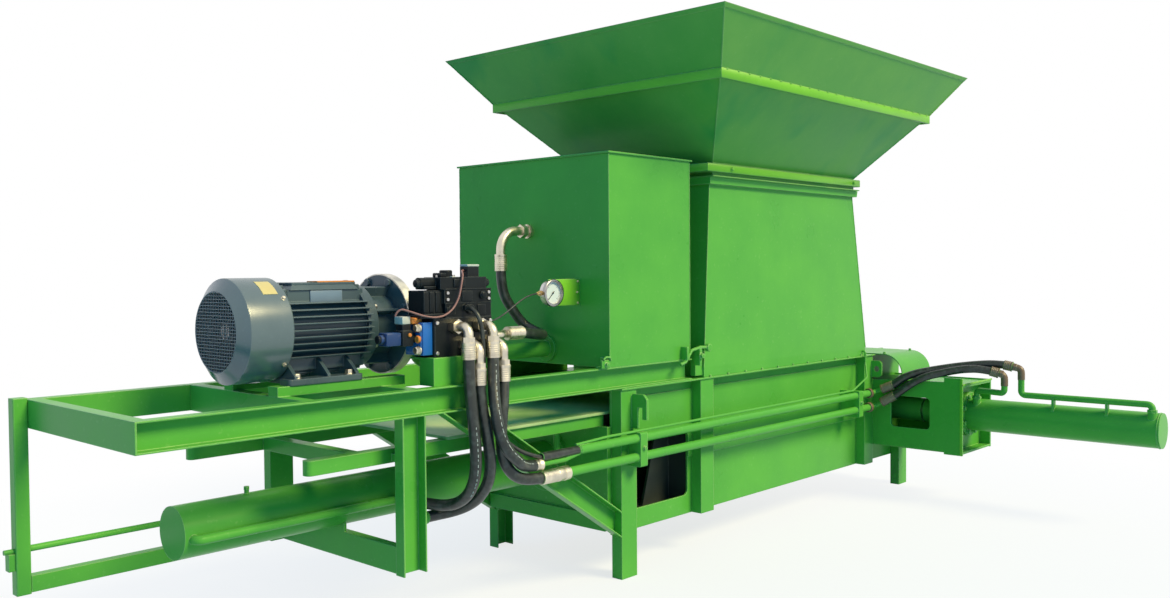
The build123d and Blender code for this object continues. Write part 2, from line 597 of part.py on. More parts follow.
def shaft_coupling():
    """Two jaw hubs with a spider ring, and the pump's input shaft."""
    y, z = MOTOR_Y, MOTOR_Z
    x = FLANGE_X + FLANGE_T + 12
    end = FLANGE_X + FLANGE_T + BELL_L
    hub = round_bar((x, y, z), (x + 36, y, z), 58) + round_bar((x + 36, y, z), (x + 46, y, z), 52)
    hub += round_bar((x + 46, y, z), (end - 16, y, z), 58)
    hub -= round_bar((x - 1, y, z), (x + 38, y, z), SHAFT_R)
    return hub + round_bar((end - 16, y, z), (end + 12, y, z), PUMP_SHAFT_R)


def hydraulic_pump():
    """Vane pump: mounting flange, round body, bolted end cover and its two port bosses."""
    x = FLANGE_X + FLANGE_T + BELL_L
    y, z = MOTOR_Y, MOTOR_Z
    body = round_bar((x, y, z), (x + 18, y, z), 104) + round_bar((x + 18, y, z), (x + PUMP_L, y, z), PUMP_R)
    body += round_bar((x + PUMP_L, y, z), (x + PUMP_L + 26, y, z), PUMP_R - 12)
    for turn in range(4):
        a = radians(45 + turn * 90)
        py, pz = y + 56 * cos(a), z + 56 * sin(a)
        body += hex_bar((x + PUMP_L + 26, py, pz), (x + PUMP_L + 38, py, pz), 22)
    px = x + PUMP_L / 2
    body += block((px - 42, px + 42), (y - 42, y + 42), (z - 96, z - 60))
    body += block((px - 30, px + 30), (y - 98, y - 60), (z - 30, z + 30))
    body += round_bar((px, BLOCK_Y[1], z), (px, y - 90, z), 20)
    return body - round_bar((x - 1, y, z), (x + 14, y, z), PUMP_SHAFT_R + FIT)


def suction_pipe():
    """Wide pipe from the foot of the tank, turned up into the pump."""
    x = FLANGE_X + FLANGE_T + BELL_L + PUMP_L / 2
    top, low = MOTOR_Z - 96, 1066
    pipe = bent_tube([(x, MOTOR_Y, top), (x, MOTOR_Y, low), (TANK_X[0], MOTOR_Y, low)], 38, 42)
    pipe += round_bar((TANK_X[0] - 14, MOTOR_Y, low), (TANK_X[0], MOTOR_Y, low), 62)
    return pipe + round_bar((x + 70, MOTOR_Y, low), (x + 150, MOTOR_Y, low), 46)


# Valve stack

def valve_bracket():
    """Folded stand on the front beam: front web, two sides and a top shelf."""
    x, z = (BLOCK_X[0] - 24, BLOCK_X[1]), (BEAM_TOP, BLOCK_Z[0])
    stand = block(x, (BEAM_B - 12, BEAM_B - 4), z) + block(x, (BEAM_B - 12, BLOCK_Y[1]), (z[1] - 8, z[1]))
    for edge in (x[0], x[1] - 8):
        stand += block((edge, edge + 8), (BEAM_B - 12, BLOCK_Y[1] - 60), z)
    return stand


def valve_manifold():
    """Drilled block with a chamfered front edge, and the spacer block that carries the valves."""
    low = block(BLOCK_X, BLOCK_Y, BLOCK_Z)
    low = chamfer(low.edges().filter_by(Axis.Z), 4)
    z = (BLOCK_Z[1], BLOCK_Z[1] + SPACER_H)
    high = block((BLOCK_X[0] + 62, BLOCK_X[1]), (BLOCK_Y[0] + 6, BLOCK_Y[1] - 5), z)
    shelf = block((BLOCK_X[0] - 52, BLOCK_X[0] + 62), (BLOCK_Y[0] + 18, BLOCK_Y[1] - 5), (z[0], z[0] + 14))
    x, y, z = GAUGE_TAKEOFF
    takeoff = hex_bar((x, y, z), (x + 16, y, z), 20)
    return low + high + shelf + takeoff + hex_bar((PILOT_START[0], BLOCK_Y[0] + 6, PILOT_START[2]), PILOT_START, 26)


def directional_valves():
    """Two stacked spool valves with their coils, and the plug on top."""
    z = BLOCK_Z[1] + SPACER_H
    x = (BLOCK_X[0] + 62, BLOCK_X[1])
    y = (BLOCK_Y[0] + 8, BLOCK_Y[1] - 7)
    mid_y = (y[0] + y[1]) / 2
    lower = block((x[0] - 4, x[1] + 2), y, (z, z + 56))
    lower += block((x[0] - 96, x[0] - 4), (y[0] + 14, y[1]), (BLOCK_Z[1] + 14, z + 52))
    for k in range(3):
        lower -= block((x[0] - 90 + k * 30, x[0] - 82 + k * 30), (y[0] + 14, y[0] + 20), (BLOCK_Z[1] + 22, z + 44))
    upper = block((x[0] - 20, x[1] - 20), (y[0] + 4, y[1] - 4), (z + 56, z + 104))
    upper += round_bar((x[0] - 92, mid_y, z + 80), (x[1] + 12, mid_y, z + 80), 23)
    knob = round_bar((x[0] + 50, mid_y, z + 104), (x[0] + 50, mid_y, z + 132), 26)
    knob = fillet(knob.edges().group_by(Axis.Z)[-1], 6)
    upper += knob + block((x[1] - 96, x[1] - 36), (mid_y - 24, mid_y + 24), (z + 104, z + 146))
    return lower + upper


def pilot_valve():
    """Small block on the end of the manifold with two plugs, a round nut and a long coil."""
    x, y, z = (BLOCK_X[0] - 47, BLOCK_X[0]), (BLOCK_Y[0] + 12, BLOCK_Y[1] - 3), (BLOCK_Z[0] + 10, BLOCK_Z[1] - 14)
    mid_y, mid_z = 130, 1183
    valve = block(x, y, z)
    for level_z in (z[0] + 20, z[1] - 22):
        valve += hex_bar((x[0], y[0] + 18, level_z), (x[0] - 12, y[0] + 18, level_z), 26)
    valve += round_bar((x[0], mid_y, mid_z), (x[0] - 26, mid_y, mid_z), 24)
    valve += round_bar((x[0] - 26, mid_y, mid_z), (x[0] - 150, mid_y, mid_z), 32)
    valve += round_bar((x[0] - 150, mid_y, mid_z), (x[0] - 178, mid_y, mid_z), 20)
    valve += block((x[0] - 118, x[0] - 62), (mid_y - 20, mid_y + 20), (mid_z + 26, mid_z + 72))
    end = WIRE_ENDS[1]
    return valve + round_bar((end[0], end[1], mid_z + 72), end, 9)


def port_elbows():
    """Four zinc-plated elbows on the manifold's ports with their nuts and hose ferrules, and the return stub."""
    pieces = []
    for x, z, low in zip(PORT_X, PORT_Z, FERRULE_Z):
        elbow = bent_tube([(x, BLOCK_Y[0], z), (x, ELBOW_Y, z), (x, ELBOW_Y, low + 60)], ELBOW_R, 32)
        elbow += hex_bar((x, BLOCK_Y[0], z), (x, BLOCK_Y[0] - 34, z), 52)
        elbow += hex_bar((x, ELBOW_Y, low + 68), (x, ELBOW_Y, low + 88), 46)
        elbow += round_bar((x, ELBOW_Y, low), (x, ELBOW_Y, low + 68), FERRULE_R)
        pieces.append(elbow)
    x, y, z = RETURN_END
    stub = bent_tube([(BLOCK_X[1], 150, z), (x - 170, 150, z), (x - 110, y, z), (x - 90, y, z)], ELBOW_R - 2, 30)
    stub += hex_bar((BLOCK_X[1], 150, z), (BLOCK_X[1] + 26, 150, z), 44)
    pieces.append(stub + round_bar((x - 92, y, z), (x, y, z), FERRULE_R))
    return pieces


def tank_elbow():
    """Return port on the tank: weld boss, nut, wide elbow and the hose ferrule below it."""
    x, y, z = RETURN_TOP
    port_z = 1632
    elbow = bent_tube([(TANK_X[0], y, port_z), (x, y, port_z), (x, y, z + 60)], ELBOW_R + 2, 95)
    elbow += round_bar((TANK_X[0] - 16, y, port_z), (TANK_X[0], y, port_z), 34)
    elbow += hex_bar((TANK_X[0] - 60, y, port_z), (TANK_X[0] - 30, y, port_z), 58)
    return elbow + round_bar((x, y, z), (x, y, z + 80), FERRULE_R)


# Hydraulic pipes

def supply_pipes():
    """Two long steel pipes with their end fittings, their clamps and the thin conduit above them."""
    y = PIPE_Y
    upper = round_bar((UPPER_PIPE_X[0], y, UPPER_PIPE_Z), (UPPER_PIPE_X[1], y, UPPER_PIPE_Z), PIPE_R)
    upper += round_bar(PILOT_END, (UPPER_PIPE_X[0], y, UPPER_PIPE_Z), SLEEVE_R)
    upper += bent_tube([UPPER_END, (-430, y, UPPER_END[2]), (-330, y, UPPER_END[2] + 20)], 11, 40)
    upper += hex_bar(UPPER_END, (UPPER_END[0] + 40, y, UPPER_END[2]), 40)
    lower = round_bar((LOWER_PIPE_X[0], y, LOWER_PIPE_Z), (LOWER_PIPE_X[1], y, LOWER_PIPE_Z), PIPE_R)
    lower += hex_bar((LOWER_PIPE_X[0] - 66, y, LOWER_PIPE_Z), (LOWER_PIPE_X[0], y, LOWER_PIPE_Z), 50)
    lower += round_bar(LOWER_END, (LOWER_PIPE_X[0] - 66, y, LOWER_PIPE_Z), FERRULE_R)
    pieces = [upper + side_takeoff(0, UPPER_PIPE_X[1]), lower + side_takeoff(1, LOWER_PIPE_X[1])]
    clamp_top = UPPER_PIPE_Z + PIPE_R + 7
    for x, back in zip(CLAMP_X, (0, LEG_B - DOUBLER_T)):
        clamp = block((x, x + CLAMP_W), (y - PIPE_R - 5, back), (LOWER_PIPE_Z - 44, clamp_top))
        clamp = fillet(clamp.edges().filter_by(Axis.X).group_by(Axis.Y)[0], 8)
        for z in (LOWER_PIPE_Z, UPPER_PIPE_Z):
            clamp -= round_bar((x - 1, y, z), (x + CLAMP_W + 1, y, z), PIPE_R)
        pieces.append(clamp)
    conduit_r = 6
    run_z = clamp_top + conduit_r
    start_z = UPPER_PIPE_Z + SLEEVE_R + conduit_r
    conduit = [(-361, y, start_z), (-150, y, run_z), (2110, y, run_z), (2285, y, 760), (2319, -22, 850),
               (2319, -22, 920), (2319, 0, 920)]
    return pieces + [bent_tube(conduit, conduit_r, 12)]


def side_takeoff(which, pipe_end):
    """Nut and angled ferrule at the bale end of one long pipe."""
    corner, end = Vector(*SIDE_CORNER[which]), Vector(*SIDE_START[which])
    tube = bent_tube([(pipe_end, corner.Y, corner.Z), tuple(corner), tuple(end)], 15, 18)
    tube += hex_bar((pipe_end, corner.Y, corner.Z), (pipe_end + 22, corner.Y, corner.Z), 50)
    return tube + round_bar(corner + (end - corner) * 0.35, end, FERRULE_R)


def hose(name, points, diameter):
    """Round hose along straight runs joined by the widest arcs that the runs allow."""
    spots = [Vector(*p) for p in points]
    radii = []
    for a, b, c in zip(spots, spots[1:], spots[2:]):
        half_turn = radians((b - a).get_angle(c - b)) / 2
        radii.append(0.45 * min((b - a).length, (c - b).length) / tan(half_turn))
    path = FilletPolyline(*points, radius=radii)
    print(name, "bend radii", [round(r) for r in radii], "length", round(path.length))
    return sweep(Plane(origin=path @ 0, z_dir=path % 0) * Circle(diameter / 2), path=path)


# Rams

def main_cylinder():
    """Welded barrel with its cap, head flange, both ports and the pipes along it."""
    y, z = MIDDLE_Y, AXIS_Z
    flange_x = -HEAD_PLATE_T
    barrel = round_bar((CYL_X, y, z), (flange_x, y, z), CYL_R) - round_bar((CYL_X, y, z), (flange_x, y, z), CYL_BORE_R)
    barrel += round_bar((CYL_X - CAP_T, y, z), (CYL_X, y, z), CYL_R)
    barrel += round_bar((flange_x - 25, y, z), (flange_x, y, z), 150) - \
        round_bar((flange_x - 25, y, z), (flange_x, y, z), CYL_BORE_R)
    head = round_bar((HEAD_X[0], y, z), (HEAD_X[1], y, z), CYL_BORE_R)
    head -= round_bar((HEAD_X[0], y, z), (HEAD_X[1], y, z), ROD_R + FIT)
    barrel += head
    corner, end = Vector(*CAP_CORNER), Vector(*CAP_END)
    along = (end - corner).normalized()
    inlet = (CYL_X + 17, corner.Y, corner.Z)
    cap_pipe = bent_tube([(CYL_X + 17, y - 70, corner.Z), inlet, CAP_CORNER, tuple(end)], 17, 22)
    cap_pipe += hex_bar(end - along * 58, end - along * 44, 46) + round_bar(end - along * 44, end, FERRULE_R)
    x, py, pz = ROD_END
    rod_pipe = bent_tube([(x - 40, py, pz), (x - 90, py, pz), (x - 90, py, ROD_PIPE_Z), (-160, py, ROD_PIPE_Z),
                          (-160, py, z + 40), (-160, y - 60, z + 40)], 15, 24)
    rod_pipe += round_bar((x - 60, py, pz), ROD_END, FERRULE_R)
    bleed = round_bar((-1640, y, z + CYL_R - 6), (-1640, y, z + CYL_R + 14), 9)
    bleed += hex_bar((-1640, y, z + CYL_R + 14), (-1640, y, z + CYL_R + 26), 20)
    pipes = cap_pipe + rod_pipe - round_bar((CYL_X, y, z), (flange_x, y, z), CYL_BORE_R + 3)
    return barrel + bleed + pipes


def main_rod():
    """Chromed rod with its piston and the flange bolted to the ram."""
    y, z = MIDDLE_Y, AXIS_Z
    back = RAM_FACE_X - PLATEN_T
    crown = CYL_X + PISTON_GAP
    rod = round_bar((crown, y, z), (crown + PISTON_T, y, z), CYL_BORE_R - FIT)
    rod += round_bar((crown + PISTON_T, y, z), (back, y, z), ROD_R)
    flange = round_bar((back - 28, y, z), (back, y, z), 105)
    for turn in range(6):
        a = radians(turn * 60)
        fy, fz = y + 82 * cos(a), z + 82 * sin(a)
        flange += hex_bar((back - 40, fy, fz), (back - 28, fy, fz), 30)
    return rod + flange


def main_ram():
    """Press plate with stiffening ribs behind it and a wear shoe below."""
    low, high = FLOOR_TOP + RUN_GAP, RAIL_TOP + RUN_GAP
    wide = (INNER_Y[0] + SIDE_GAP, INNER_Y[1] - SIDE_GAP)
    back = RAM_FACE_X - PLATEN_T
    ram = block((back, RAM_FACE_X), wide, (low, high))
    ram += block((back - 230, back), wide, (low, low + 20))
    for y in (wide[0] + 120, MIDDLE_Y - 130, MIDDLE_Y + 114, wide[1] - 136):
        rib = Polyline((back - 210, low + 20), (back, low + 20), (back, high - 20), (back - 60, high - 20), close=True)
        ram += extrude(Plane(origin=(0, y + 16, 0), x_dir=FLOW_X, z_dir=-FLOW_Y) * make_face(rib), amount=16)
    return ram


def ram_cover():
    """Long plate that slides with the ram and closes the throat behind it."""
    z = RAIL_TOP + RUN_GAP
    return block((COVER_TAIL_X, RAM_FACE_X), (RAIL_Y - 15, DEPTH - RAIL_Y + 15), (z, z + COVER_T))


def side_box():
    """Open-ended box that carries the side cylinder, with a window in each side plate."""
    t = SIDE_WALL_T
    front, step, seat = -SIDE_DEPTH, -SIDE_DEPTH + 112, LEG_B
    low, high = SIDE_Z
    plate = make_face(Polyline((seat, low - 5), (step, low - 5), (step, low - 20), (front, low - 20),
                               (front, high + 57), (step, high + 57), (step, high + 30), (seat, high + 14), close=True))
    left = extrude(Plane(origin=(SIDE_X[0] - t, 0, 0), x_dir=FLOW_Y, z_dir=FLOW_X) * plate, amount=t)
    right = block((SIDE_X[1], SIDE_X[1] + t), (front, seat), (low - t, high + 20))
    opening = block((SIDE_X[0] - 40, SIDE_X[1] + 40), SIDE_WINDOW_Y, SIDE_WINDOW_Z)
    opening = fillet(opening.edges().filter_by(Axis.X), 26)
    box = left + right - opening
    box += block(SIDE_X, (front, seat), (high, high + 12)) + block(SIDE_X, (front, seat), (low - 12, low))
    box += block(SIDE_X, (SIDE_MOUNT_Y, SIDE_MOUNT_Y + SIDE_MOUNT_T), (low, high))
    return box - side_bar(SIDE_MOUNT_Y, SIDE_MOUNT_Y + SIDE_MOUNT_T, SIDE_NOSE_R + 2)


def side_bar(y0, y1, radius):
    """Round bar on the side cylinder's axis."""
    middle = (SIDE_X[0] + SIDE_X[1]) / 2
    return round_bar((middle, y0, SIDE_AXIS_Z), (middle, y1, SIDE_AXIS_Z), radius)


def side_guard():
    """Rounded cover plate over the corner between the chamber and the side box."""
    x = (SIDE_X[0] + 4, SIDE_X[1] - 9)
    low, high, reach, t = SIDE_Z[1] + 12, LEDGE_Z + 5, 191, 5
    outer = block(x, (-reach, LEG_B), (low, high))
    inner = block(x, (-reach + t, LEG_B), (low, high - t))
    outer = fillet(outer.edges().filter_by(Axis.X).group_by(Axis.Y)[0].sort_by(Axis.Z)[-1], 130)
    inner = fillet(inner.edges().filter_by(Axis.X).group_by(Axis.Y)[0].sort_by(Axis.Z)[-1], 130 - t)
    return outer - inner


def side_cylinder():
    """Barrel with its cap, front flange and long nose, the port bosses and the posts under the pipe."""
    flange_y = (SIDE_MOUNT_Y - 25, SIDE_MOUNT_Y)
    end = SIDE_CYL_END + 12
    body = side_bar(SIDE_CYL_END, flange_y[0], SIDE_CYL_R) + side_bar(*flange_y, 135)
    for x, y in SIDE_PORT:
        body += round_bar((x, y, SIDE_AXIS_Z), (x, y, SIDE_AXIS_Z + 105), 24)
    pipe_x = SIDE_RISER[0][0]
    for y in (-1050, -1340):
        post = block((pipe_x - 20, pipe_x + 20), (y - 6, y + 6), (SIDE_AXIS_Z, SIDE_RUN_Z[0]))
        body += post - round_bar((pipe_x, y - 10, SIDE_RUN_Z[0]), (pipe_x, y + 10, SIDE_RUN_Z[0]), SIDE_PIPE_R)
    body -= side_bar(end, flange_y[0] - 60, SIDE_BORE_R)
    body += side_bar(flange_y[1], SIDE_NOSE_Y, SIDE_NOSE_R)
    return body - side_bar(end, SIDE_NOSE_Y, SIDE_ROD_R + FIT)


def side_pipes():
    """Two bent steel pipes on top of the side cylinder, each from its hose ferrule to its port."""
    pieces = []
    port_z = SIDE_AXIS_Z + 105
    for end, top, (px, py), run_z in zip(SIDE_DROP, SIDE_RISER, SIDE_PORT, SIDE_RUN_Z):
        along = (Vector(*top) - Vector(*end)).normalized()
        pipe = bent_tube([tuple(Vector(*end) + along * 30), top, (top[0], top[1], run_z), (px, py, run_z),
                          (px, py, port_z)], SIDE_PIPE_R, 26)
        pipe += hex_bar((px, py, port_z), (px, py, port_z + 14), 46)
        pieces.append(pipe + round_bar(end, Vector(*end) + along * 50, FERRULE_R))
    return pieces


def side_rod():
    """Rod of the side ram with its piston."""
    back = SIDE_CYL_END + 12 + 12
    rod = side_bar(back, back + SIDE_PISTON_T, SIDE_BORE_R - FIT)
    return rod + side_bar(back + SIDE_PISTON_T, BOSS_Y, SIDE_ROD_R)


def side_pusher():
    """Pushing plate in the wall opening with its long boss and four ribs."""
    low, high = SIDE_Z[0] + RUN_GAP, SIDE_Z[1] - PUSH_GAP
    plate = block((SIDE_X[0] + PUSH_GAP, SIDE_X[1] - PUSH_GAP), (LEG_B + WALL_T - PUSH_T, LEG_B + WALL_T), (low, high))
    back = LEG_B + WALL_T - PUSH_T
    middle = (SIDE_X[0] + SIDE_X[1]) / 2
    rib = Polyline((back, SIDE_AXIS_Z + BOSS_R - 4), (back, high - 20), (back - 60, SIDE_AXIS_Z + BOSS_R - 4), close=True)
    web = extrude(Plane(origin=(middle - 6, 0, 0), x_dir=FLOW_Y, z_dir=FLOW_X) * make_face(rib), amount=12)
    body = plate + side_bar(BOSS_Y, back, BOSS_R)
    axis = Axis((middle, 0, SIDE_AXIS_Z), (0, 1, 0))
    for turn in (0, 90, 180, 270):
        body += web.rotate(axis, turn)
    return body


# Hoses, each by its route and its diameter

ROUTES = {
    "hose_cap": ([(PORT_X[0], ELBOW_Y, FERRULE_Z[0]), (-956, -38, 990), (-953, -52, 880), (-944, -56, 775),
                  (-928, -42, 675), (-906, 0, 592), (-890, 60, 530), (-886, 130, 490), (-900, 200, 474),
                  (-930, 251, 480), CAP_END], HOSE_D),
    "hose_rod": ([(PORT_X[1], ELBOW_Y, FERRULE_Z[1]), (-896, -40, 905), (-884, -54, 815), (-868, -54, 730),
                  (-846, -36, 650), (-822, 10, 575), (-804, 85, 506), (-808, 160, 460), (-834, 222, 435),
                  (-885, 256, 426), ROD_END], HOSE_D),
    "hose_upper": ([(PORT_X[2], ELBOW_Y, FERRULE_Z[2]), (-836, -46, 1010), (-857, -74, 925), (-864, -98, 850),
                    (-850, -104, 780), (-806, -103, 714), (-748, -97, 671), (-725, -84, 656), (-672, -56, 637),
                    UPPER_END], HOSE_D),
    "hose_lower": ([(PORT_X[3], ELBOW_Y, FERRULE_Z[3]), (-782, -46, 930), (-800, -55, 860), (-806, -55, 790),
                    (-800, -50, 715), (-775, -50, 650), (-725, -50, 600), (-655, -50, 576), LOWER_END], HOSE_D),
    "return_hose": ([RETURN_TOP, (-263, 520, 1345), (-210, 500, 1252), (-152, 480, 1175), (-128, 400, 1142),
                     (-200, 300, 1140), (-320, 225, 1152), RETURN_END], HOSE_D),
    "side_hose_a": ([SIDE_START[0], (2436, -208, 752), (2452, -272, 783), (2488, -350, 804), (2528, -450, 825),
                     (2560, -550, 843), (2588, -650, 855), (2604, -715, 859), SIDE_DROP[0]], HOSE_D),
    "side_hose_b": ([SIDE_START[1], (2423, -232, 694), (2430, -300, 742), (2444, -370, 778), (2478, -450, 799),
                     (2505, -530, 820), (2528, -610, 830), (2545, -665, 828), SIDE_DROP[1]], HOSE_D),
    "pilot_hose": ([PILOT_START, (-884, 14, 1290), (-876, -12, 1255), (-866, -18, 1195), (-861, -18, 1120),
                    (-861, -15, 1030), (-861, -12, 945), (-850, -12, 865), (-800, -13, 795), (-725, -15, 730),
                    (-650, -38, 680), PILOT_END], 18),
    "gauge_capillary": ([(GAUGE[0] - GAUGE_R - 24, GAUGE[1] + 18, GAUGE[2]), (-415, 168, 1336), (-485, 166, 1308),
                         (-560, 160, 1266), (-635, 150, 1236), (-695, 141, 1226),
                         (GAUGE_TAKEOFF[0] + 16, GAUGE_TAKEOFF[1], GAUGE_TAKEOFF[2])], 7),
    "solenoid_wire": ([WIRE_ENDS[0], (-868, 108, 1446), (-898, 60, 1432), (-916, 50, 1390), (-932, 46, 1338),
                       (-968, 42, 1290), (-1025, 42, 1262), (-1085, 56, 1264), (-1135, 90, 1285), (-1176, 122, 1302),
                       WIRE_ENDS[1]], 8),
}


def origin():
    """Point under the middle of the machine, without the hoses."""
    left = FRAME_X - TUBE - PIN_L
    right = END_X + END_T + END_RIB
    return Vector((left + right) / 2, (SIDE_CYL_END + RIM[3] + RIM_T) / 2, 0)


def save(name, shape):
    pieces = shape if isinstance(shape, list) else [shape]
    solids = [solid for piece in pieces for solid in piece.solids()]
    export_step(Pos(-origin()) * Compound(solids), f"parts/{name}.step")


def build():
    os.makedirs("parts", exist_ok=True)
    beam, brace = front_beam(), diagonal_brace()
    save("front_beam", beam)
    save("rear_beam", mirrored(beam))
    save("diagonal_braces", [brace, mirrored(brace)])
    save("front_wall", side_wall(True))
    save("rear_wall", side_wall(False))
    pieces = [cross_members, left_legs, leg_braces, slide_rails, chamber_floor, chamber_roof, end_wall,
              front_uprights, rear_uprights, chamber_sills, throat, hopper_lower, hopper_upper, oil_tank, tank_lid,
              tank_breather, pressure_gauge, gauge_needle, motor_housing, fan_cowl, cooling_fan, motor_shaft,
              terminal_box, motor_flange, bell_housing, shaft_coupling, hydraulic_pump, suction_pipe, valve_bracket,
              valve_manifold, directional_valves, pilot_valve, port_elbows, tank_elbow, supply_pipes, main_cylinder,
              main_rod, main_ram, ram_cover, side_box, side_guard, side_cylinder, side_pipes, side_rod, side_pusher]
    for piece in pieces:
        save(piece.__name__, piece())
    for name, (points, diameter) in ROUTES.items():
        save(name, hose(name, points, diameter))


build()
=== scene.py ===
import math

import bmesh
import bpy
from mathutils import Matrix, Vector


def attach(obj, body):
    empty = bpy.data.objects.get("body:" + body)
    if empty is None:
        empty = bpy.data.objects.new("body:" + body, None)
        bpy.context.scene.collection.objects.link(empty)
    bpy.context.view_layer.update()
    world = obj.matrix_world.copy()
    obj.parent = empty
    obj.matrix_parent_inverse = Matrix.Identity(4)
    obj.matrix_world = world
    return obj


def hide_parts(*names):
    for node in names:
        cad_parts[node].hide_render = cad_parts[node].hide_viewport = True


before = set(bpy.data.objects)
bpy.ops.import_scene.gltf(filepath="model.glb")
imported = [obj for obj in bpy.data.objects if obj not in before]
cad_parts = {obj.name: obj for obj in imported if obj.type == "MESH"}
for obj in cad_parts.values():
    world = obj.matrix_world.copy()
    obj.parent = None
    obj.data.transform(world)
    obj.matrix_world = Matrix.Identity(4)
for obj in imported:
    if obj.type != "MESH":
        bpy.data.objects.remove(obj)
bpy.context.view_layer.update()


# Viewpoint
# The machine is seen from its working side, from an eye level of 1.45 m, with the motor end nearest.
# Places on the machine are given in millimetres from the main legs, and turned into metres here.

legs_x, legs_y = 326.5, -129.5


def place(x, y, z):
    """A place on the machine as a point in metres."""
    return Vector((x - legs_x, y - legs_y, z)) / 1000


eye = place(-3655, -3136, 1450)
yaw, pitch, roll = math.radians(42.571), math.radians(-1.681), math.radians(-0.413)
ahead = Vector((math.cos(yaw) * math.cos(pitch), math.sin(yaw) * math.cos(pitch), math.sin(pitch)))
level_right = Vector((math.sin(yaw), -math.cos(yaw), 0))
level_up = level_right.cross(ahead)
right = math.cos(roll) * level_right + math.sin(roll) * level_up
up = math.cos(roll) * level_up - math.sin(roll) * level_right
camera = bpy.data.objects.new("camera", bpy.data.cameras.new("camera"))
camera.data.lens = 32.118
camera.data.sensor_width = 36
turn = Matrix((right, up, -ahead)).transposed()
camera.matrix_world = Matrix.Translation(eye) @ turn.to_4x4()
bpy.context.scene.collection.objects.link(camera)
bpy.context.scene.camera = camera
bpy.context.scene.view_settings.view_transform = "Standard"


# Hydraulic hoses
# Steel-braided rubber hoses from the valve block to the rams and the tank, with a thin pilot hose, the
# gauge's capillary and one wire. Each ends in a ferrule or a fitting; two carry a broken pale line.

def finish(name, colour, roughness, metallic=0.0):
    """A new finish and its shader, ready for its pattern."""
    made = bpy.data.materials.new(name)
    made.use_nodes = True
    shader = made.node_tree.nodes["Principled BSDF"]
    shader.inputs["Base Color"].default_value = (*colour, 1)
    shader.inputs["Roughness"].default_value = roughness
    shader.inputs["Metallic"].default_value = metallic
    return made, shader


def step_of(made, kind, feeds=None, **settings):
    """One step of a finish: its settings and what goes into each of its sockets."""
    step = made.node_tree.nodes.new(kind)
    for key, value in settings.items():
        setattr(step, key, value)
    for socket, value in (feeds or {}).items():
        if isinstance(value, bpy.types.NodeSocket):
            made.node_tree.links.new(value, step.inputs[socket])
        else:
            step.inputs[socket].default_value = value
    return step


def spread(made, source, low, high, out_low=0.0, out_high=1.0):
    """Source's range from low to high, stretched to another range."""
    feeds = {"Value": source, "From Min": low, "From Max": high, "To Min": out_low, "To Max": out_high}
    return step_of(made, "ShaderNodeMapRange", feeds).outputs["Result"]


def blend_colours(made, share, first, second):
    """Mix of two colours by a share from 0 to 1."""
    step = step_of(made, "ShaderNodeMix", data_type="RGBA")
    for index, value in ((0, share), (6, first), (7, second)):
        if isinstance(value, bpy.types.NodeSocket):
            made.node_tree.links.new(value, step.inputs[index])
        else:
            step.inputs[index].default_value = value
    return step.outputs[2]


def lies_at(made):
    """Where each point of a piece lies, so that a pattern stays fixed to it."""
    return step_of(made, "ShaderNodeTexCoord").outputs["Object"]


def clouds_in(made, where, scale, detail=2.0, broken=0.5):
    """Uneven clouds from 0 to 1, broad ones at a small scale and fine specks at a large one."""
    feeds = {"Vector": where, "Scale": scale, "Detail": detail, "Roughness": broken}
    return step_of(made, "ShaderNodeTexNoise", feeds).outputs["Fac"]


def relief(made, height, strength, depth, normal=None):
    """Fine relief on the surface, its depth in metres."""
    feeds = {"Strength": strength, "Distance": depth, "Height": height}
    if normal is not None:
        feeds["Normal"] = normal
    raised = step_of(made, "ShaderNodeBump", feeds)
    shader = made.node_tree.nodes["Principled BSDF"]
    made.node_tree.links.new(raised.outputs["Normal"], shader.inputs["Normal"])


def mottled(name, base, roughness, clouds, limits, first, second):
    """A finish in two tones that run into each other in clouds of a scale and a detail."""
    made, shader = finish(name, base, roughness)
    share = spread(made, clouds_in(made, lies_at(made), *clouds), *limits)
    tint = blend_colours(made, share, (*first, 1), (*second, 1))
    made.node_tree.links.new(tint, shader.inputs["Base Color"])
    return made


rubber = mottled("hose rubber", (0.026, 0.030, 0.030), 0.34, (38.0, 5.0), (0.45, 0.8),
                 (0.022, 0.026, 0.025), (0.075, 0.085, 0.078))
wrap = step_of(rubber, "ShaderNodeTexWave", {"Vector": lies_at(rubber), "Scale": 190.0, "Distortion": 1.5})
relief(rubber, wrap.outputs["Fac"], 0.12, 0.0006)


def hose(name, route, diameter, material=rubber):
    """One free hose along its route, in place of its plain solid."""
    curve = bpy.data.curves.new(name + "_line", "CURVE")
    curve.dimensions = "3D"
    spline = curve.splines.new("NURBS")
    spline.points.add(len(route) - 1)
    for point, spot in zip(spline.points, route):
        point.co = (*place(*spot), 1)
    spline.order_u = 3
    spline.use_endpoint_u = True
    curve.resolution_u = 10
    curve.bevel_depth = diameter / 2
    curve.bevel_resolution = 5
    curve.use_fill_caps = True
    curve.materials.append(material)
    piece = bpy.data.objects.new(name + "_run", curve)
    bpy.context.scene.collection.objects.link(piece)
    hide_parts(name)
    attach(piece, "root")
    return piece


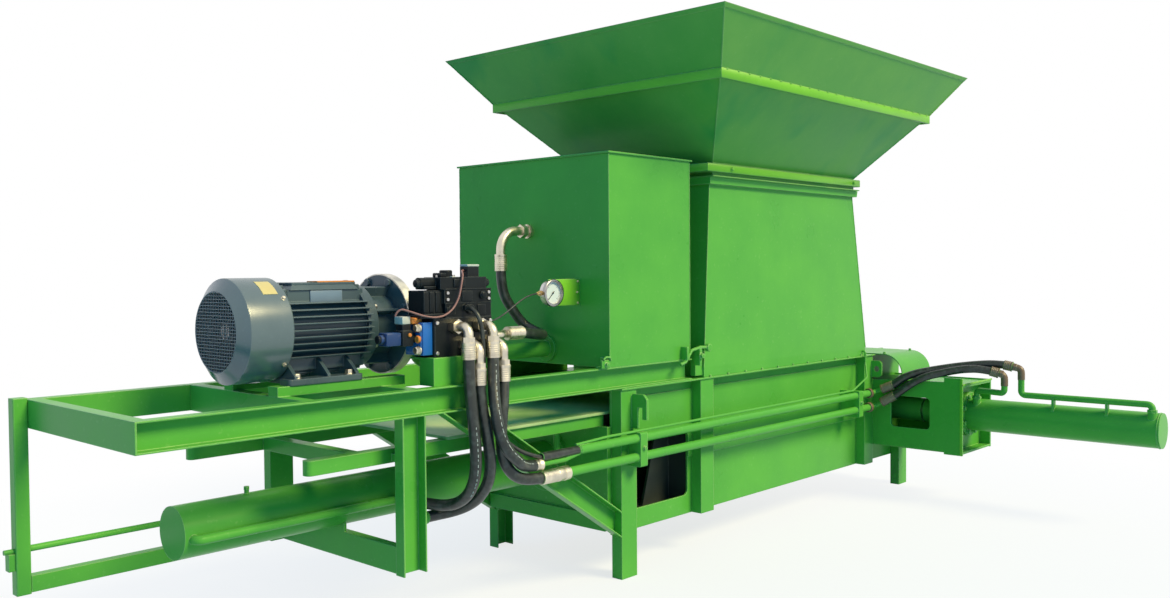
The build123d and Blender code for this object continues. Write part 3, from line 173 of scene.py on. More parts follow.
thick_hose = 0.048
cap_hose = hose("hose_cap", [(-953, -32, 1095), (-956, -38, 990), (-953, -52, 880), (-944, -56, 775),
                             (-928, -42, 675), (-906, 0, 592), (-890, 60, 530), (-886, 130, 490),
                             (-900, 200, 474), (-930, 251, 480), (-972, 292, 490)], thick_hose)
hose("hose_rod", [(-899, -32, 990), (-896, -40, 905), (-884, -54, 815), (-868, -54, 730), (-846, -36, 650),
                  (-822, 10, 575), (-804, 85, 506), (-808, 160, 460), (-834, 222, 435), (-885, 256, 426),
                  (-940, 262, 424)], thick_hose)
upper_hose = hose("hose_upper", [(-824, -32, 1095), (-836, -46, 1010), (-857, -74, 925), (-864, -98, 850),
                                 (-850, -104, 780), (-806, -103, 714), (-748, -97, 671), (-725, -84, 656),
                                 (-672, -56, 637), (-615, -50, 630)], thick_hose)
hose("hose_lower", [(-768, -32, 995), (-782, -46, 930), (-800, -55, 860), (-806, -55, 790),
                    (-800, -50, 715), (-775, -50, 650), (-725, -50, 600), (-655, -50, 576),
                    (-578, -50, 572)], thick_hose)
hose("return_hose", [(-265, 520, 1440), (-263, 520, 1345), (-210, 500, 1252), (-152, 480, 1175),
                     (-128, 400, 1142), (-200, 300, 1140), (-320, 225, 1152), (-439, 200, 1168)],
     thick_hose)
hose("side_hose_a", [(2427, -155, 708), (2436, -208, 752), (2452, -272, 783), (2488, -350, 804),
                     (2528, -450, 825), (2560, -550, 843), (2588, -650, 855), (2604, -715, 859),
                     (2614, -770, 856)], thick_hose)
hose("side_hose_b", [(2418, -170, 646), (2423, -232, 694), (2430, -300, 742), (2444, -370, 778),
                     (2478, -450, 799), (2505, -530, 820), (2528, -610, 830), (2545, -665, 828),
                     (2556, -712, 820)], thick_hose)
hose("pilot_hose", [(-885, 48, 1296), (-884, 14, 1290), (-876, -12, 1255), (-866, -18, 1195),
                    (-861, -18, 1120), (-861, -15, 1030), (-861, -12, 945), (-850, -12, 865),
                    (-800, -13, 795), (-725, -15, 730), (-650, -38, 680), (-575, -50, 660)],
     0.018)
hose("gauge_capillary", [(-365, 168, 1340), (-415, 168, 1336), (-485, 166, 1308), (-560, 160, 1266),
                         (-635, 150, 1236), (-695, 141, 1226), (-728, 140, 1224)], 0.007)
wire_cover = mottled("pink wire cover", (0.30, 0.12, 0.11), 0.5, (90.0, 4.0), (0.0, 1.0),
                     (0.20, 0.08, 0.075), (0.42, 0.20, 0.18))
hose("solenoid_wire", [(-840, 123, 1445), (-868, 108, 1446), (-898, 60, 1432), (-916, 50, 1390),
                       (-932, 46, 1338), (-968, 42, 1290), (-1025, 42, 1262), (-1085, 56, 1264),
                       (-1135, 90, 1285), (-1176, 122, 1302), (-1185, 130, 1270)],
     0.008, wire_cover)


def centre_line(piece):
    """The points that a hose's middle runs through, evenly smooth."""
    bare = piece.data.copy()
    bare.bevel_depth = 0
    bare.resolution_u = 24
    holder = bpy.data.objects.new("holder", bare)
    line = bpy.data.meshes.new_from_object(holder)
    points = [vertex.co.copy() for vertex in line.vertices]
    bpy.data.objects.remove(holder)
    return points


def mesh_piece(name, solids, material):
    """One piece made of closed solids, each a list of points in metres and a list of its faces."""
    points, sides = [], []
    for corners, faces in solids:
        sides += [tuple(len(points) + index for index in face) for face in faces]
        points += corners
    mesh = bpy.data.meshes.new(name)
    mesh.from_pydata(points, [], sides)
    mesh.materials.append(material)
    for side in mesh.polygons:
        side.use_smooth = True
    mesh.set_sharp_from_angle(angle=math.radians(35))
    piece = bpy.data.objects.new(name, mesh)
    bpy.context.scene.collection.objects.link(piece)
    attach(piece, "root")
    return piece


def tube_sides(rings, steps):
    """The faces between one ring of points and the next."""
    faces = []
    for ring in range(rings - 1):
        for k in range(steps):
            low, high = ring * steps, ring * steps + steps
            faces.append((low + k, low + (k + 1) % steps, high + (k + 1) % steps, high + k))
    return faces


def raised_pale_dashes(piece, radius, toward, dashes, width=0.0015):
    """Short raised dashes along one side of a hose, each from one share of its length to another."""
    line = centre_line(piece)
    solids = []
    travelled = [0.0]
    for first, second in zip(line, line[1:]):
        travelled.append(travelled[-1] + (second - first).length)
    for start, end in dashes:
        corners = []
        for k in range(1, len(line) - 1):
            if not start <= travelled[k] / travelled[-1] <= end:
                continue
            along = (line[k + 1] - line[k - 1]).normalized()
            out = (toward - along * toward.dot(along)).normalized()
            across = along.cross(out) * width
            for side, height in ((-1, -0.001), (1, -0.001), (1, 0.0005), (-1, 0.0005)):
                corners.append(line[k] + out * (radius + height) + across * side)
        rings = len(corners) // 4
        if rings < 2:
            continue
        ends = [(3, 2, 1, 0), tuple(rings * 4 - 4 + k for k in range(4))]
        solids.append((corners, ends + tube_sides(rings, 4)))
    return solids


# Pale raised dashes, in broken runs, along one side of two hoses.
pale_dash_finish = mottled("pale dash finish", (0.62, 0.64, 0.60), 0.5, (420.0, 3.0), (0.4, 0.6),
                     (0.30, 0.32, 0.30), (0.72, 0.73, 0.68))
cap_dashes = [(0.30 + k * 0.024, 0.312 + k * 0.024 + 0.004 * (k % 3)) for k in range(15)]
upper_dashes = [(0.04 + k * 0.038, 0.062 + k * 0.038 + 0.006 * (k % 3)) for k in range(24)]
pale_dash_solids = raised_pale_dashes(cap_hose, thick_hose / 2, Vector((-0.35, -1, 0)), cap_dashes)
pale_dash_solids += raised_pale_dashes(upper_hose, thick_hose / 2, Vector((-0.2, -1, 0.5)), upper_dashes, 0.0014)
mesh_piece("hose_pale_dashes", pale_dash_solids, pale_dash_finish)


# Floor and studio light
# A pale painted floor that runs out into a white studio, one broad warm lamp from the working side, and a
# cooler blue-green light all round and off the floor, so that the end faces stay deep green.

def seen_straight(made):
    """1 for what the eye, a reflection or a clear piece sees, and 0 for what lights the machine."""
    rays = step_of(made, "ShaderNodeLightPath").outputs
    direct = step_of(made, "ShaderNodeMath", {0: rays["Is Camera Ray"], 1: rays["Is Glossy Ray"]},
                     operation="MAXIMUM").outputs[0]
    return step_of(made, "ShaderNodeMath", {0: direct, 1: rays["Is Transmission Ray"]},
                   operation="MAXIMUM").outputs[0]


floor_reach, white_from = 60, 4.5
studio, studio_shader = finish("studio floor", (0.86, 0.86, 0.86), 0.9)
studio_shader.inputs["Specular IOR Level"].default_value = 0.0
away = step_of(studio, "ShaderNodeVectorMath", {0: lies_at(studio)}, operation="LENGTH").outputs["Value"]
seen = seen_straight(studio)
share = step_of(studio, "ShaderNodeMath", {0: spread(studio, away, 0.0, white_from, 0.72, 1.0), 1: seen},
                operation="MULTIPLY").outputs[0]
bounce = blend_colours(studio, seen, (0.34, 0.60, 0.68, 1), (0.90, 0.90, 0.90, 1))
studio.node_tree.links.new(bounce, studio_shader.inputs["Base Color"])
white = step_of(studio, "ShaderNodeEmission", {"Color": (1, 1, 1, 1), "Strength": 1.0})
mixed = step_of(studio, "ShaderNodeMixShader", {0: share, 1: studio_shader.outputs[0], 2: white.outputs[0]})
studio.node_tree.links.new(mixed.outputs[0], studio.node_tree.nodes["Material Output"].inputs["Surface"])
sheet_mesh = bpy.data.meshes.new("studio_floor")
sheet_mesh.from_pydata([(-floor_reach, -floor_reach, 0), (floor_reach, -floor_reach, 0),
                        (floor_reach, floor_reach, 0), (-floor_reach, floor_reach, 0)], [], [(0, 1, 2, 3)])
sheet_mesh.materials.append(studio)
studio_floor = bpy.data.objects.new("studio_floor", sheet_mesh)
bpy.context.scene.collection.objects.link(studio_floor)

world = bpy.data.worlds.new("studio")
world.use_nodes = True
bpy.context.scene.world = world
sky = world.node_tree.nodes["Background"]
sky.inputs["Color"].default_value = (0.03, 0.31, 0.62, 1)
sky.inputs["Strength"].default_value = 1.0
backdrop = step_of(world, "ShaderNodeBackground", {"Color": (1, 1, 1, 1), "Strength": 1.0})
choose = step_of(world, "ShaderNodeMixShader",
                 {0: seen_straight(world), 1: sky.outputs[0], 2: backdrop.outputs[0]})
world.node_tree.links.new(choose.outputs[0], world.node_tree.nodes["World Output"].inputs["Surface"])

lamp = bpy.data.objects.new("key_lamp", bpy.data.lights.new("key_lamp", "SUN"))
lamp.data.energy = 3.55
lamp.data.angle = math.radians(22)
lamp.data.color = (1.0, 0.86, 0.46)
lamp.rotation_euler = Vector((0.30, -1.0, 0.95)).to_track_quat("Z", "Y").to_euler()
bpy.context.scene.collection.objects.link(lamp)


# Power frame, legs, chamber and motor body
# Rolled steel channels and folded plate, welded and sprayed with gloss green enamel, and a cast motor body
# sprayed grey-blue. The coat is thicker and thinner from place to place, and its sharp edges are painted
# paler, partly as rubbed wear and partly as a painted highlight.

def enamel(name, thin, thick, edge, roughness, shine=0.5, rub_and_highlight=0.55):
    """Sprayed enamel with soft clouds of thickness, orange peel, and edges painted paler as rubbed wear and
    painted highlight.
    """
    made, shader = finish(name, thick, roughness)
    shader.inputs["Specular IOR Level"].default_value = shine
    where = lies_at(made)
    coats = clouds_in(made, where, 2.6, 4.0, 0.6)
    colour = blend_colours(made, spread(made, coats, 0.35, 0.68), (*thick, 1), (*thin, 1))
    specks = clouds_in(made, where, 55.0, 6.0)
    colour = blend_colours(made, spread(made, specks, 0.62, 0.85, 0.0, 0.25), colour, (*edge, 1))
    rounded = step_of(made, "ShaderNodeBevel", {"Radius": 0.005}, samples=4).outputs[0]
    flat = step_of(made, "ShaderNodeNewGeometry").outputs["Normal"]
    alike = step_of(made, "ShaderNodeVectorMath", {0: rounded, 1: flat}, operation="DOT_PRODUCT")
    # Where the bevelled normal parts from the flat one, the edge is painted paler: partly rubbed wear,
    # partly a painted highlight.
    worn_and_highlit_edge = spread(made, alike.outputs["Value"], 0.995, 0.90, 0.0, rub_and_highlight)
    colour = blend_colours(made, worn_and_highlit_edge, colour, (*edge, 1))
    made.node_tree.links.new(colour, shader.inputs["Base Color"])
    gloss = spread(made, coats, 0.3, 0.7, roughness - 0.05, roughness + 0.10)
    made.node_tree.links.new(gloss, shader.inputs["Roughness"])
    relief(made, clouds_in(made, where, 240.0), 0.05, 0.001, rounded)
    return made


def paint(material, *nodes):
    """The finish of some of the machine's own parts."""
    for node in nodes:
        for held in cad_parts[node].material_slots:
            held.material = material


# Its edges are painted strongly paler, partly as wear and partly as a painted highlight.
green = enamel("green enamel", (0.128, 0.455, 0.060), (0.100, 0.402, 0.054), (0.46, 0.68, 0.26),
               0.30, 0.16, 0.9)
paint(green, "front_beam", "rear_beam", "cross_members", "left_legs", "leg_braces", "slide_rails",
      "diagonal_braces", "front_wall", "rear_wall", "chamber_floor", "chamber_roof", "end_wall",
      "front_uprights", "rear_uprights", "chamber_sills", "throat", "oil_tank", "tank_lid", "suction_pipe",
      "valve_bracket", "supply_pipes", "main_cylinder", "side_box", "side_guard", "side_cylinder",
      "side_pipes", "side_pusher")
motor_grey = enamel("motor enamel", (0.075, 0.115, 0.130), (0.045, 0.075, 0.090), (0.16, 0.21, 0.23), 0.28)
paint(motor_grey, "motor_housing", "terminal_box", "motor_flange")


# Throat seams and skirt bolts
# The throat's four plates are seam welded at their corners and painted over; small bolts, painted with the
# rest, hold its skirt to the ledge.

def rod(route, radius, steps=8, ripple=0.0, pitch=0):
    """Bent round bar through the places of a route; a ripple and a pitch make it a weld bead."""
    spots = [place(*spot) for spot in route]
    if pitch:
        fine = []
        for first, second in zip(spots, spots[1:]):
            count = max(2, round((second - first).length * 1000 / pitch))
            fine += [first.lerp(second, k / count) for k in range(count)]
        spots = fine + [spots[-1]]
    points = []
    side = (spots[1] - spots[0]).orthogonal().normalized()
    for index, spot in enumerate(spots):
        along = (spots[min(index + 1, len(spots) - 1)] - spots[max(index - 1, 0)]).normalized()
        side = (side - along * side.dot(along)).normalized()
        over = along.cross(side)
        size = radius * (1 + ripple * (math.sin(index * 2.3) + 0.6 * math.sin(index * 0.71))) / 1000
        for k in range(steps):
            angle = math.tau * k / steps
            points.append(spot + (side * math.cos(angle) + over * math.sin(angle)) * size)
    ends = [tuple(reversed(range(steps))), tuple((len(spots) - 1) * steps + k for k in range(steps))]
    return points, tube_sides(len(spots), steps) + ends


def welds(*routes, radius=3.2):
    """A rippled weld bead along each route."""
    return [rod(route, radius, ripple=0.13, pitch=7) for route in routes]


def turned(start, along, profile, steps=20):
    """Turned solid: rings at (distance, radius) in millimetres from start along a direction.
    Six steps make a hexagon."""
    along = Vector(along).normalized()
    side = along.orthogonal().normalized()
    over = along.cross(side)
    points = []
    for distance, radius in profile:
        for k in range(steps):
            angle = math.tau * k / steps
            out = (side * math.cos(angle) + over * math.sin(angle)) * radius
            points.append(place(*start) + (along * distance + out) / 1000)
    ends = [tuple(reversed(range(steps))), tuple((len(profile) - 1) * steps + k for k in range(steps))]
    return points, tube_sides(len(profile), steps) + ends


def bolt(at, out, across):
    """Washer and hexagon head, standing out from a face, as two closed solids."""
    radius = across / 2
    washer = turned(at, out, [(-0.5, radius * 1.3), (across * 0.10, radius * 1.3),
                              (across * 0.14, radius * 1.18)])
    head = turned(at, out, [(0, radius * 1.15), (across * 0.60, radius * 1.15),
                            (across * 0.70, radius * 0.95)], 6)
    return [washer, head]


skirt_left, skirt_right, throat_left, throat_right = 649, 2360, 750, 2245
skirt_back, throat_front, throat_back, skirt_top, throat_top = 910, 35, 875, 942, 1914
seams = welds([(skirt_left, 0, skirt_top), (throat_left, throat_front, throat_top)],
              [(skirt_right, 0, skirt_top), (throat_right, throat_front, throat_top)],
              [(skirt_left, skirt_back, skirt_top), (throat_left, throat_back, throat_top)],
              [(skirt_right, skirt_back, skirt_top), (throat_right, throat_back, throat_top)])
mesh_piece("steelwork_welds", seams, green)

first_bolt, last_bolt, bolt_pitch = 700, 2300, 160
skirt_bolts = []
for x in range(first_bolt, last_bolt + 1, bolt_pitch):
    skirt_bolts += bolt((x, -1, 893), (0, -0.2, 1), 13)
mesh_piece("skirt_bolts", skirt_bolts, green)


# Hopper seams and collar
# The hopper is folded from sheet in two rings, seam welded at each corner, and rain has streaked its
# enamel. A flat-bar collar, tacked at even steps, covers the joint between the rings; it is painted a
# lighter green, a painted highlight where it faces up.

def slab(x, y, z, edge):
    """Plate or block with its edges broken, as one closed solid."""
    shape = bmesh.new()
    corners = [shape.verts.new(place(x[i], y[j], z[k])) for i in (0, 1) for j in (0, 1) for k in (0, 1)]
    for side in ((0, 1, 3, 2), (4, 6, 7, 5), (0, 4, 5, 1), (2, 3, 7, 6), (0, 2, 6, 4), (1, 5, 7, 3)):
        shape.faces.new([corners[index] for index in side])
    bmesh.ops.bevel(shape, geom=shape.edges[:], offset=edge / 1000, segments=2, affect="EDGES", profile=0.5)
    shape.verts.index_update()
    points = [vertex.co.copy() for vertex in shape.verts]
    faces = [tuple(vertex.index for vertex in side.verts) for side in shape.faces]
    shape.free()
    return points, faces


hopper_green = enamel("weathered hopper enamel", (0.200, 0.450, 0.085), (0.140, 0.400, 0.070),
                      (0.46, 0.62, 0.26), 0.36, 0.16, 0.7)
hopper_shader = hopper_green.node_tree.nodes["Principled BSDF"]
coat = hopper_shader.inputs["Base Color"].links[0].from_socket
drawn_down = step_of(hopper_green, "ShaderNodeMapping", {"Vector": lies_at(hopper_green),
                                                         "Scale": (1.0, 1.0, 0.45)}).outputs["Vector"]
streaks = spread(hopper_green, clouds_in(hopper_green, drawn_down, 2.3, 3.0), 0.54, 0.68, 0.0, 0.8)
rained = blend_colours(hopper_green, streaks, coat, (0.050, 0.340, 0.075, 1))
hopper_green.node_tree.links.new(rained, hopper_shader.inputs["Base Color"])
paint(hopper_green, "hopper_lower", "hopper_upper")
# A lighter copy of the green enamel: a painted highlight for strips, plates and bolts that catch the light.
highlit_green = enamel("highlit green enamel", (0.235, 0.580, 0.040), (0.190, 0.520, 0.032),
                      (0.45, 0.70, 0.25), 0.34, 0.2)

# Each level of the hopper: left, right, front, back and height.
neck = (745, 2230, 12, 898, 1990)
collar = (310, 2483, -349, 1174, 2357)
rim = (107, 2677, -512, 1349, 2599)


def corner(level, across, deep, out=0.0):
    """One corner of a level of the hopper, moved a little outward."""
    return level[across] + (out if across else -out), level[2 + deep] + (out if deep else -out), level[4]


corner_seams = []
for across in (0, 1):
    for deep in (0, 1):
        lower_seam = [corner(neck, across, deep, -1.0), corner(collar, across, deep, -1.0)]
        upper_seam = [corner(collar, across, deep, 2.0), corner(rim, across, deep, -1.0)]
        corner_seams += welds(lower_seam, upper_seam, radius=3.6)
mesh_piece("hopper_corner_seams", corner_seams, hopper_green)

# The collar strip is in the lighter green copy, a painted highlight where it faces up.
band_out, band_thick, band_low, band_high = 8.0, 2, 39, 7
x0, x1 = collar[0] - band_out, collar[1] + band_out
y0, y1, top = collar[2] - band_out, collar[3] + band_out, collar[4]
band = []
for wide, deep in (((x0 - band_thick, x1 + band_thick), (y0 - band_thick, y0)),
                   ((x0 - band_thick, x1 + band_thick), (y1, y1 + band_thick)),
                   ((x0 - band_thick, x0), (y0, y1)), ((x1, x1 + band_thick), (y0, y1))):
    band.append(slab(wide, deep, (top - band_low, top + band_high), 0.6))
mesh_piece("collar_strip", band, highlit_green)

tack, tack_margin, front_tacks, side_tacks = [(0, 7), (4, 6), (6, 3)], 45, 24, 17
tacks = []
for k in range(front_tacks):
    x = x0 + tack_margin + k * (x1 - x0 - 2 * tack_margin) / (front_tacks - 1)
    tacks.append(turned((x, y0 + 1, top + 6), (0, -0.4, 1), tack, 10))
for k in range(side_tacks):
    y = y0 + tack_margin + k * (y1 - y0 - 2 * tack_margin) / (side_tacks - 1)
    tacks.append(turned((x0 + 1, y, top + 6), (-0.4, 0, 1), tack, 10))
mesh_piece("collar_tacks", tacks, green)

# The neck strip and its bolts are in the lighter green copy, a painted highlight.
neck_strip = []
for wide, deep in (((668, 2264), (-14, -12)), ((668, 670), (-12, 922)), ((2262, 2264), (-12, 922))):
    neck_strip.append(slab(wide, deep, (1941, 1979), 0.6))
mesh_piece("neck_strip", neck_strip, highlit_green)
neck_bolts = bolt((880, -14, 1960), (0, -1, 0), 17) + bolt((2180, -14, 1960), (0, -1, 0), 17)
mesh_piece("neck_bolts", neck_bolts, highlit_green)


# Lock lever and foot lug
# A forged swing bolt with a round eye on a welded lug holds one foot of the tank to the ledge; the other
# foot is held by a plain lug with a bent pin. Both are painted with the frame.

lever = [slab((455, 470), (-40, 0), (995, 1060), 2), slab((560, 578), (-40, 0), (960, 1050), 2)]
lever.append(rod([(420, -26, 975), (455, -30, 985), (500, -34, 1040), (575, -34, 1052), (640, -30, 1046)],
                 8, 10))
lever.append(turned((640, -46, 1046), (0, 1, 0), [(0, 16), (3, 20), (22, 20), (25, 16)], 20))
lever += bolt((569, -40, 1010), (0, -1, 0), 24)
mesh_piece("lock_lever", lever, green)

foot_lug = [slab((-150, -92), (-18, -6), (996, 1034), 2)]
foot_lug.append(rod([(-142, -20, 1036), (-128, -22, 1048), (-100, -22, 1046), (-92, -20, 1030)], 5, 10))
foot_lug += bolt((-120, -18, 1014), (0, -1, 0), 18)
mesh_piece("tank_foot_lug", foot_lug, green)


# Oil tank seams and gauge plate
# The tank is folded sheet with seam-welded corners; a small plate, painted a lighter green as a painted
# highlight, stands out from its end wall and carries the pressure gauge, held by small plated screws.

def metal(name, colour, roughness, grain):
    """Bare or plated metal with fine turning marks and stains."""
    made, shader = finish(name, colour, roughness, 1.0)
    where = lies_at(made)
    stains = clouds_in(made, where, 24.0, 6.0)
    dark = tuple(value * 0.72 for value in colour)
    tint = blend_colours(made, spread(made, stains, 0.35, 0.7), (*dark, 1), (*colour, 1))
    made.node_tree.links.new(tint, shader.inputs["Base Color"])
    dulled = spread(made, stains, 0.3, 0.75, roughness - 0.06, roughness + 0.14)
    made.node_tree.links.new(dulled, shader.inputs["Roughness"])
    relief(made, clouds_in(made, where, grain, 3.0), 0.08, 0.0005)
    return made


tank_left, tank_right, tank_back, seam_low, seam_high = -77, 531, 1031, 1010, 1971
tank_seams = [[(x, y, seam_low), (x, y, seam_high)]
              for x, y in ((tank_left, 0), (tank_right, 0), (tank_left, tank_back))]
mesh_piece("tank_seams", welds(*tank_seams, radius=2.6), green)
# The gauge plate is in the lighter green copy, a painted highlight.
mesh_piece("gauge_plate", [slab((-284, -78), (183, 185), (1279, 1401), 0.5)], highlit_green)
zinc = metal("zinc plate", (0.80, 0.75, 0.62), 0.34, 400.0)
plate_screws = []
for x, z in ((-92, 1290), (-92, 1390), (-96, 1340)):
    plate_screws += bolt((x, 183, z), (0, -1, 0), 8)
mesh_piece("gauge_plate_screws", plate_screws, zinc)


# Pressure gauge face
# Pressed steel case with a blackened bezel rolled over its edge, a white dial printed with ticks, and a
# brass stem that screws into the capillary's end.

def ring_of(start, along, profile, steps=48):
    """Closed ring turned about a line, such as a bezel or a rim."""
    points, faces = turned(start, along, profile, steps)
    last = (len(profile) - 1) * steps
    closing = [(last + k, last + (k + 1) % steps, (k + 1) % steps, k) for k in range(steps)]
    return points, faces[:-2] + closing


steel = metal("bright steel", (0.66, 0.66, 0.65), 0.26, 500.0)
paint(steel, "pressure_gauge", "motor_shaft", "shaft_coupling")
gauge_x, gauge_y, gauge_z = -285, 150, 1340
dial_white = mottled("dial face", (0.80, 0.81, 0.79), 0.35, (60.0,), (0.0, 1.0),
                     (0.84, 0.85, 0.83), (0.70, 0.71, 0.68))
dial = turned((gauge_x, gauge_y + 8.6, gauge_z), (0, -1, 0), [(0, 48.5), (1.2, 48.5)], 48)
mesh_piece("gauge_dial", [dial], dial_white)

black = enamel("black parts", (0.015, 0.018, 0.021), (0.008, 0.010, 0.012), (0.085, 0.090, 0.095),
               0.30, 0.15, 0.8)
scale_from, tick_step, tick_count = -135, 10, 28
long_tick_from, short_tick_from, ticks_to = 34, 39, 45
ticks = []
for k in range(tick_count):
    angle = math.radians(scale_from + k * tick_step)
    tick_ends = (long_tick_from if k % 9 == 0 else short_tick_from, ticks_to)
    ticks.append(rod([(gauge_x + math.sin(angle) * reach, gauge_y + 7.2, gauge_z + math.cos(angle) * reach)
                      for reach in tick_ends], 0.9, 6))
mesh_piece("gauge_ticks", ticks, black)

dark_metal = metal("blackened steel", (0.42, 0.42, 0.42), 0.24, 500.0)
bezel = [(10, 56), (10, 61), (0, 62.5), (-6, 61.5), (-8, 58), (-8, 53), (-3, 50), (4, 49.5), (6, 55)]
mesh_piece("gauge_bezel", [ring_of((gauge_x, gauge_y + 2, gauge_z), (0, 1, 0), bezel)], dark_metal)
brass = metal("brass", (0.72, 0.50, 0.20), 0.30, 500.0)
stem = [(0, 9), (8, 9), (8, 12), (20, 12), (20, 7), (34, 7), (36, 5)]
mesh_piece("gauge_stem", [turned((gauge_x - 54, gauge_y + 18, gauge_z), (-1, 0, 0), stem, 6)], brass)


# Motor cowl, grille and plates
# The fan cover is pressed steel in glossy grey-blue with a woven wire guard over its mouth; its screws,
# the foot bolts and the blank plates are fixed to it and to the motor body.

cowl_blue = enamel("cowl enamel", (0.120, 0.160, 0.180), (0.085, 0.122, 0.140), (0.24, 0.28, 0.30),
                   0.20, 0.8)
motor_y, motor_z = 400, 1228
cowl_x, cowl_end, cowl_radius, mouth_radius = -1785, -1581, 195, 148
cowl_length = cowl_end - cowl_x
shell = [(0, mouth_radius), (3, mouth_radius + 4), (8, 157), (35, cowl_radius), (40, cowl_radius + 0.6),
         (cowl_length, cowl_radius + 0.6), (cowl_length, cowl_radius - 3), (37, cowl_radius - 3),
         (10, 153), (4, mouth_radius - 3)]
cowl = mesh_piece("cowl_shell", [ring_of((cowl_x, motor_y, motor_z), (1, 0, 0), shell, 72)], cowl_blue)
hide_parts("fan_cowl")

guard_pitch, guard_reach, wire_radius = 12, 144, 1.7
wires = []
for off in range(-guard_reach, guard_reach + 1, guard_pitch):
    reach = (mouth_radius ** 2 - off ** 2) ** 0.5
    for wire in (((2, -reach, off), (2, reach, off)), ((4, off, -reach), (4, off, reach))):
        wires.append(rod([(cowl_x + x, motor_y + y, motor_z + z) for x, y, z in wire], wire_radius, 6))
guard = mesh_piece("grille_wires", wires, cowl_blue)
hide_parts("fan_cowl")
backing = ring_of((cowl_x + 6, motor_y, motor_z), (1, 0, 0), [(0, 60), (0, 64), (3, 64), (3, 60)], 40)
mesh_piece("grille_ring", [backing], cowl_blue)

flange_bolts, flange_bolt_radius, foot_bolt_y, foot_top = 6, 152, 167, 1052
screws = []
for angle in (-52, -128, 52, 128):
    out = (0, math.cos(math.radians(angle - 90)), math.sin(math.radians(angle - 90)))
    screws += bolt((cowl_end - 18, motor_y + out[1] * cowl_radius, motor_z + out[2] * cowl_radius), out, 13)
for side in (-1, 1):
    for x in (-1556, -1329):
        screws += bolt((x, motor_y + side * foot_bolt_y, foot_top), (0, 0, 1), 26)
for k in range(flange_bolts):
    angle = math.tau * (k + 0.5) / flange_bolts
    screws += bolt((-1184, motor_y + flange_bolt_radius * math.cos(angle),
                    motor_z + flange_bolt_radius * math.sin(angle)), (1, 0, 0), 18)
mesh_piece("motor_screws", screws, zinc)

cast = metal("cast aluminium", (0.80, 0.78, 0.72), 0.42, 260.0)
bare_rim = [(0, 201), (0, 204), (2, 205.8), (43, 205.8), (45, 204), (45, 201)]
mesh_piece("flange_bare_rim", [ring_of((-1063.5, motor_y, motor_z), (1, 0, 0), bare_rim, 72)], cast)
pale_blue = enamel("pale plate", (0.20, 0.27, 0.36), (0.16, 0.22, 0.30), (0.34, 0.40, 0.48), 0.4)
mesh_piece("motor_blank_plate", [slab((-1457, -1315), (290, 294), (1327, 1374), 0.8)], pale_blue)

pad_front, pad_back, pad_top, pad_low = 296, 504, 1374, 1312
pad_ends = []
for inner, outer in ((-1553, -1592), (-1232, -1193)):
    corners = [place(*spot) for y in (pad_front, pad_back)
               for spot in ((inner, y, pad_top), (inner, y, pad_low), (outer, y, pad_low))]
    pad_ends.append((corners, [(0, 1, 2), (5, 4, 3), (0, 3, 4, 1), (1, 4, 5, 2), (2, 5, 3, 0)]))
mesh_piece("terminal_pad_ends", pad_ends, motor_grey)
orange = enamel("orange plastic", (0.80, 0.23, 0.03), (0.66, 0.17, 0.02), (0.85, 0.36, 0.10), 0.38)
mesh_piece("box_orange_strip", [slab((-1420, -1250), (300, 372), (1403, 1409), 1.5)], orange)

yellow = enamel("yellow film", (0.80, 0.62, 0.26), (0.70, 0.50, 0.18), (0.85, 0.75, 0.45), 0.4)
film_rows, film_from, film_step, film_x, film_radii = 9, 44, 3, (-1672, -1612), (195.4, 196.6)
film = []
for row in range(film_rows):
    angle = math.radians(film_from + row * film_step)
    for x in film_x:
        for radius in film_radii:
            film.append(place(x, motor_y - radius * math.cos(angle), motor_z + radius * math.sin(angle)))
last = 4 * (film_rows - 1)
faces = [(0, 2, 3, 1), (last, last + 1, last + 3, last + 2)]
for a in range(0, last, 4):
    b = a + 4
    faces += [(a, b, b + 2, a + 2), (a + 3, b + 3, b + 1, a + 1), (a + 1, b + 1, b, a),
              (a + 2, b + 2, b + 3, a + 3)]
mesh_piece("cowl_blank_film", [(film, faces)], yellow)


# Valve stack
# Cast iron spool valves, painted black, stacked on a drilled steel block with long socket screws, with
# moulded coils and plugs; a small blue pilot block with its own coil is bolted to the end.

paint(black, "valve_manifold", "directional_valves", "hydraulic_pump", "cooling_fan", "tank_breather",
      "gauge_needle")
sockets = []
for x in (-974, -756):
    for z in (1330, 1356):
        sockets.append(turned((x, 69, z), (0, -1, 0), [(-2, 7), (6, 7), (7.5, 5.6)], 16))
for x in (-1036, -756):
    for z in (1120, 1240):
        sockets.append(turned((x, 60, z), (0, -1, 0), [(-2, 8), (5, 8), (6.5, 6.4)], 16))
for x in (-978, -900, -822):
    sockets.append(turned((x, 122, 1419), (0, 0, 1), [(-2, 9), (7, 9), (9, 7)], 16))
mesh_piece("valve_socket_screws", sockets, steel)

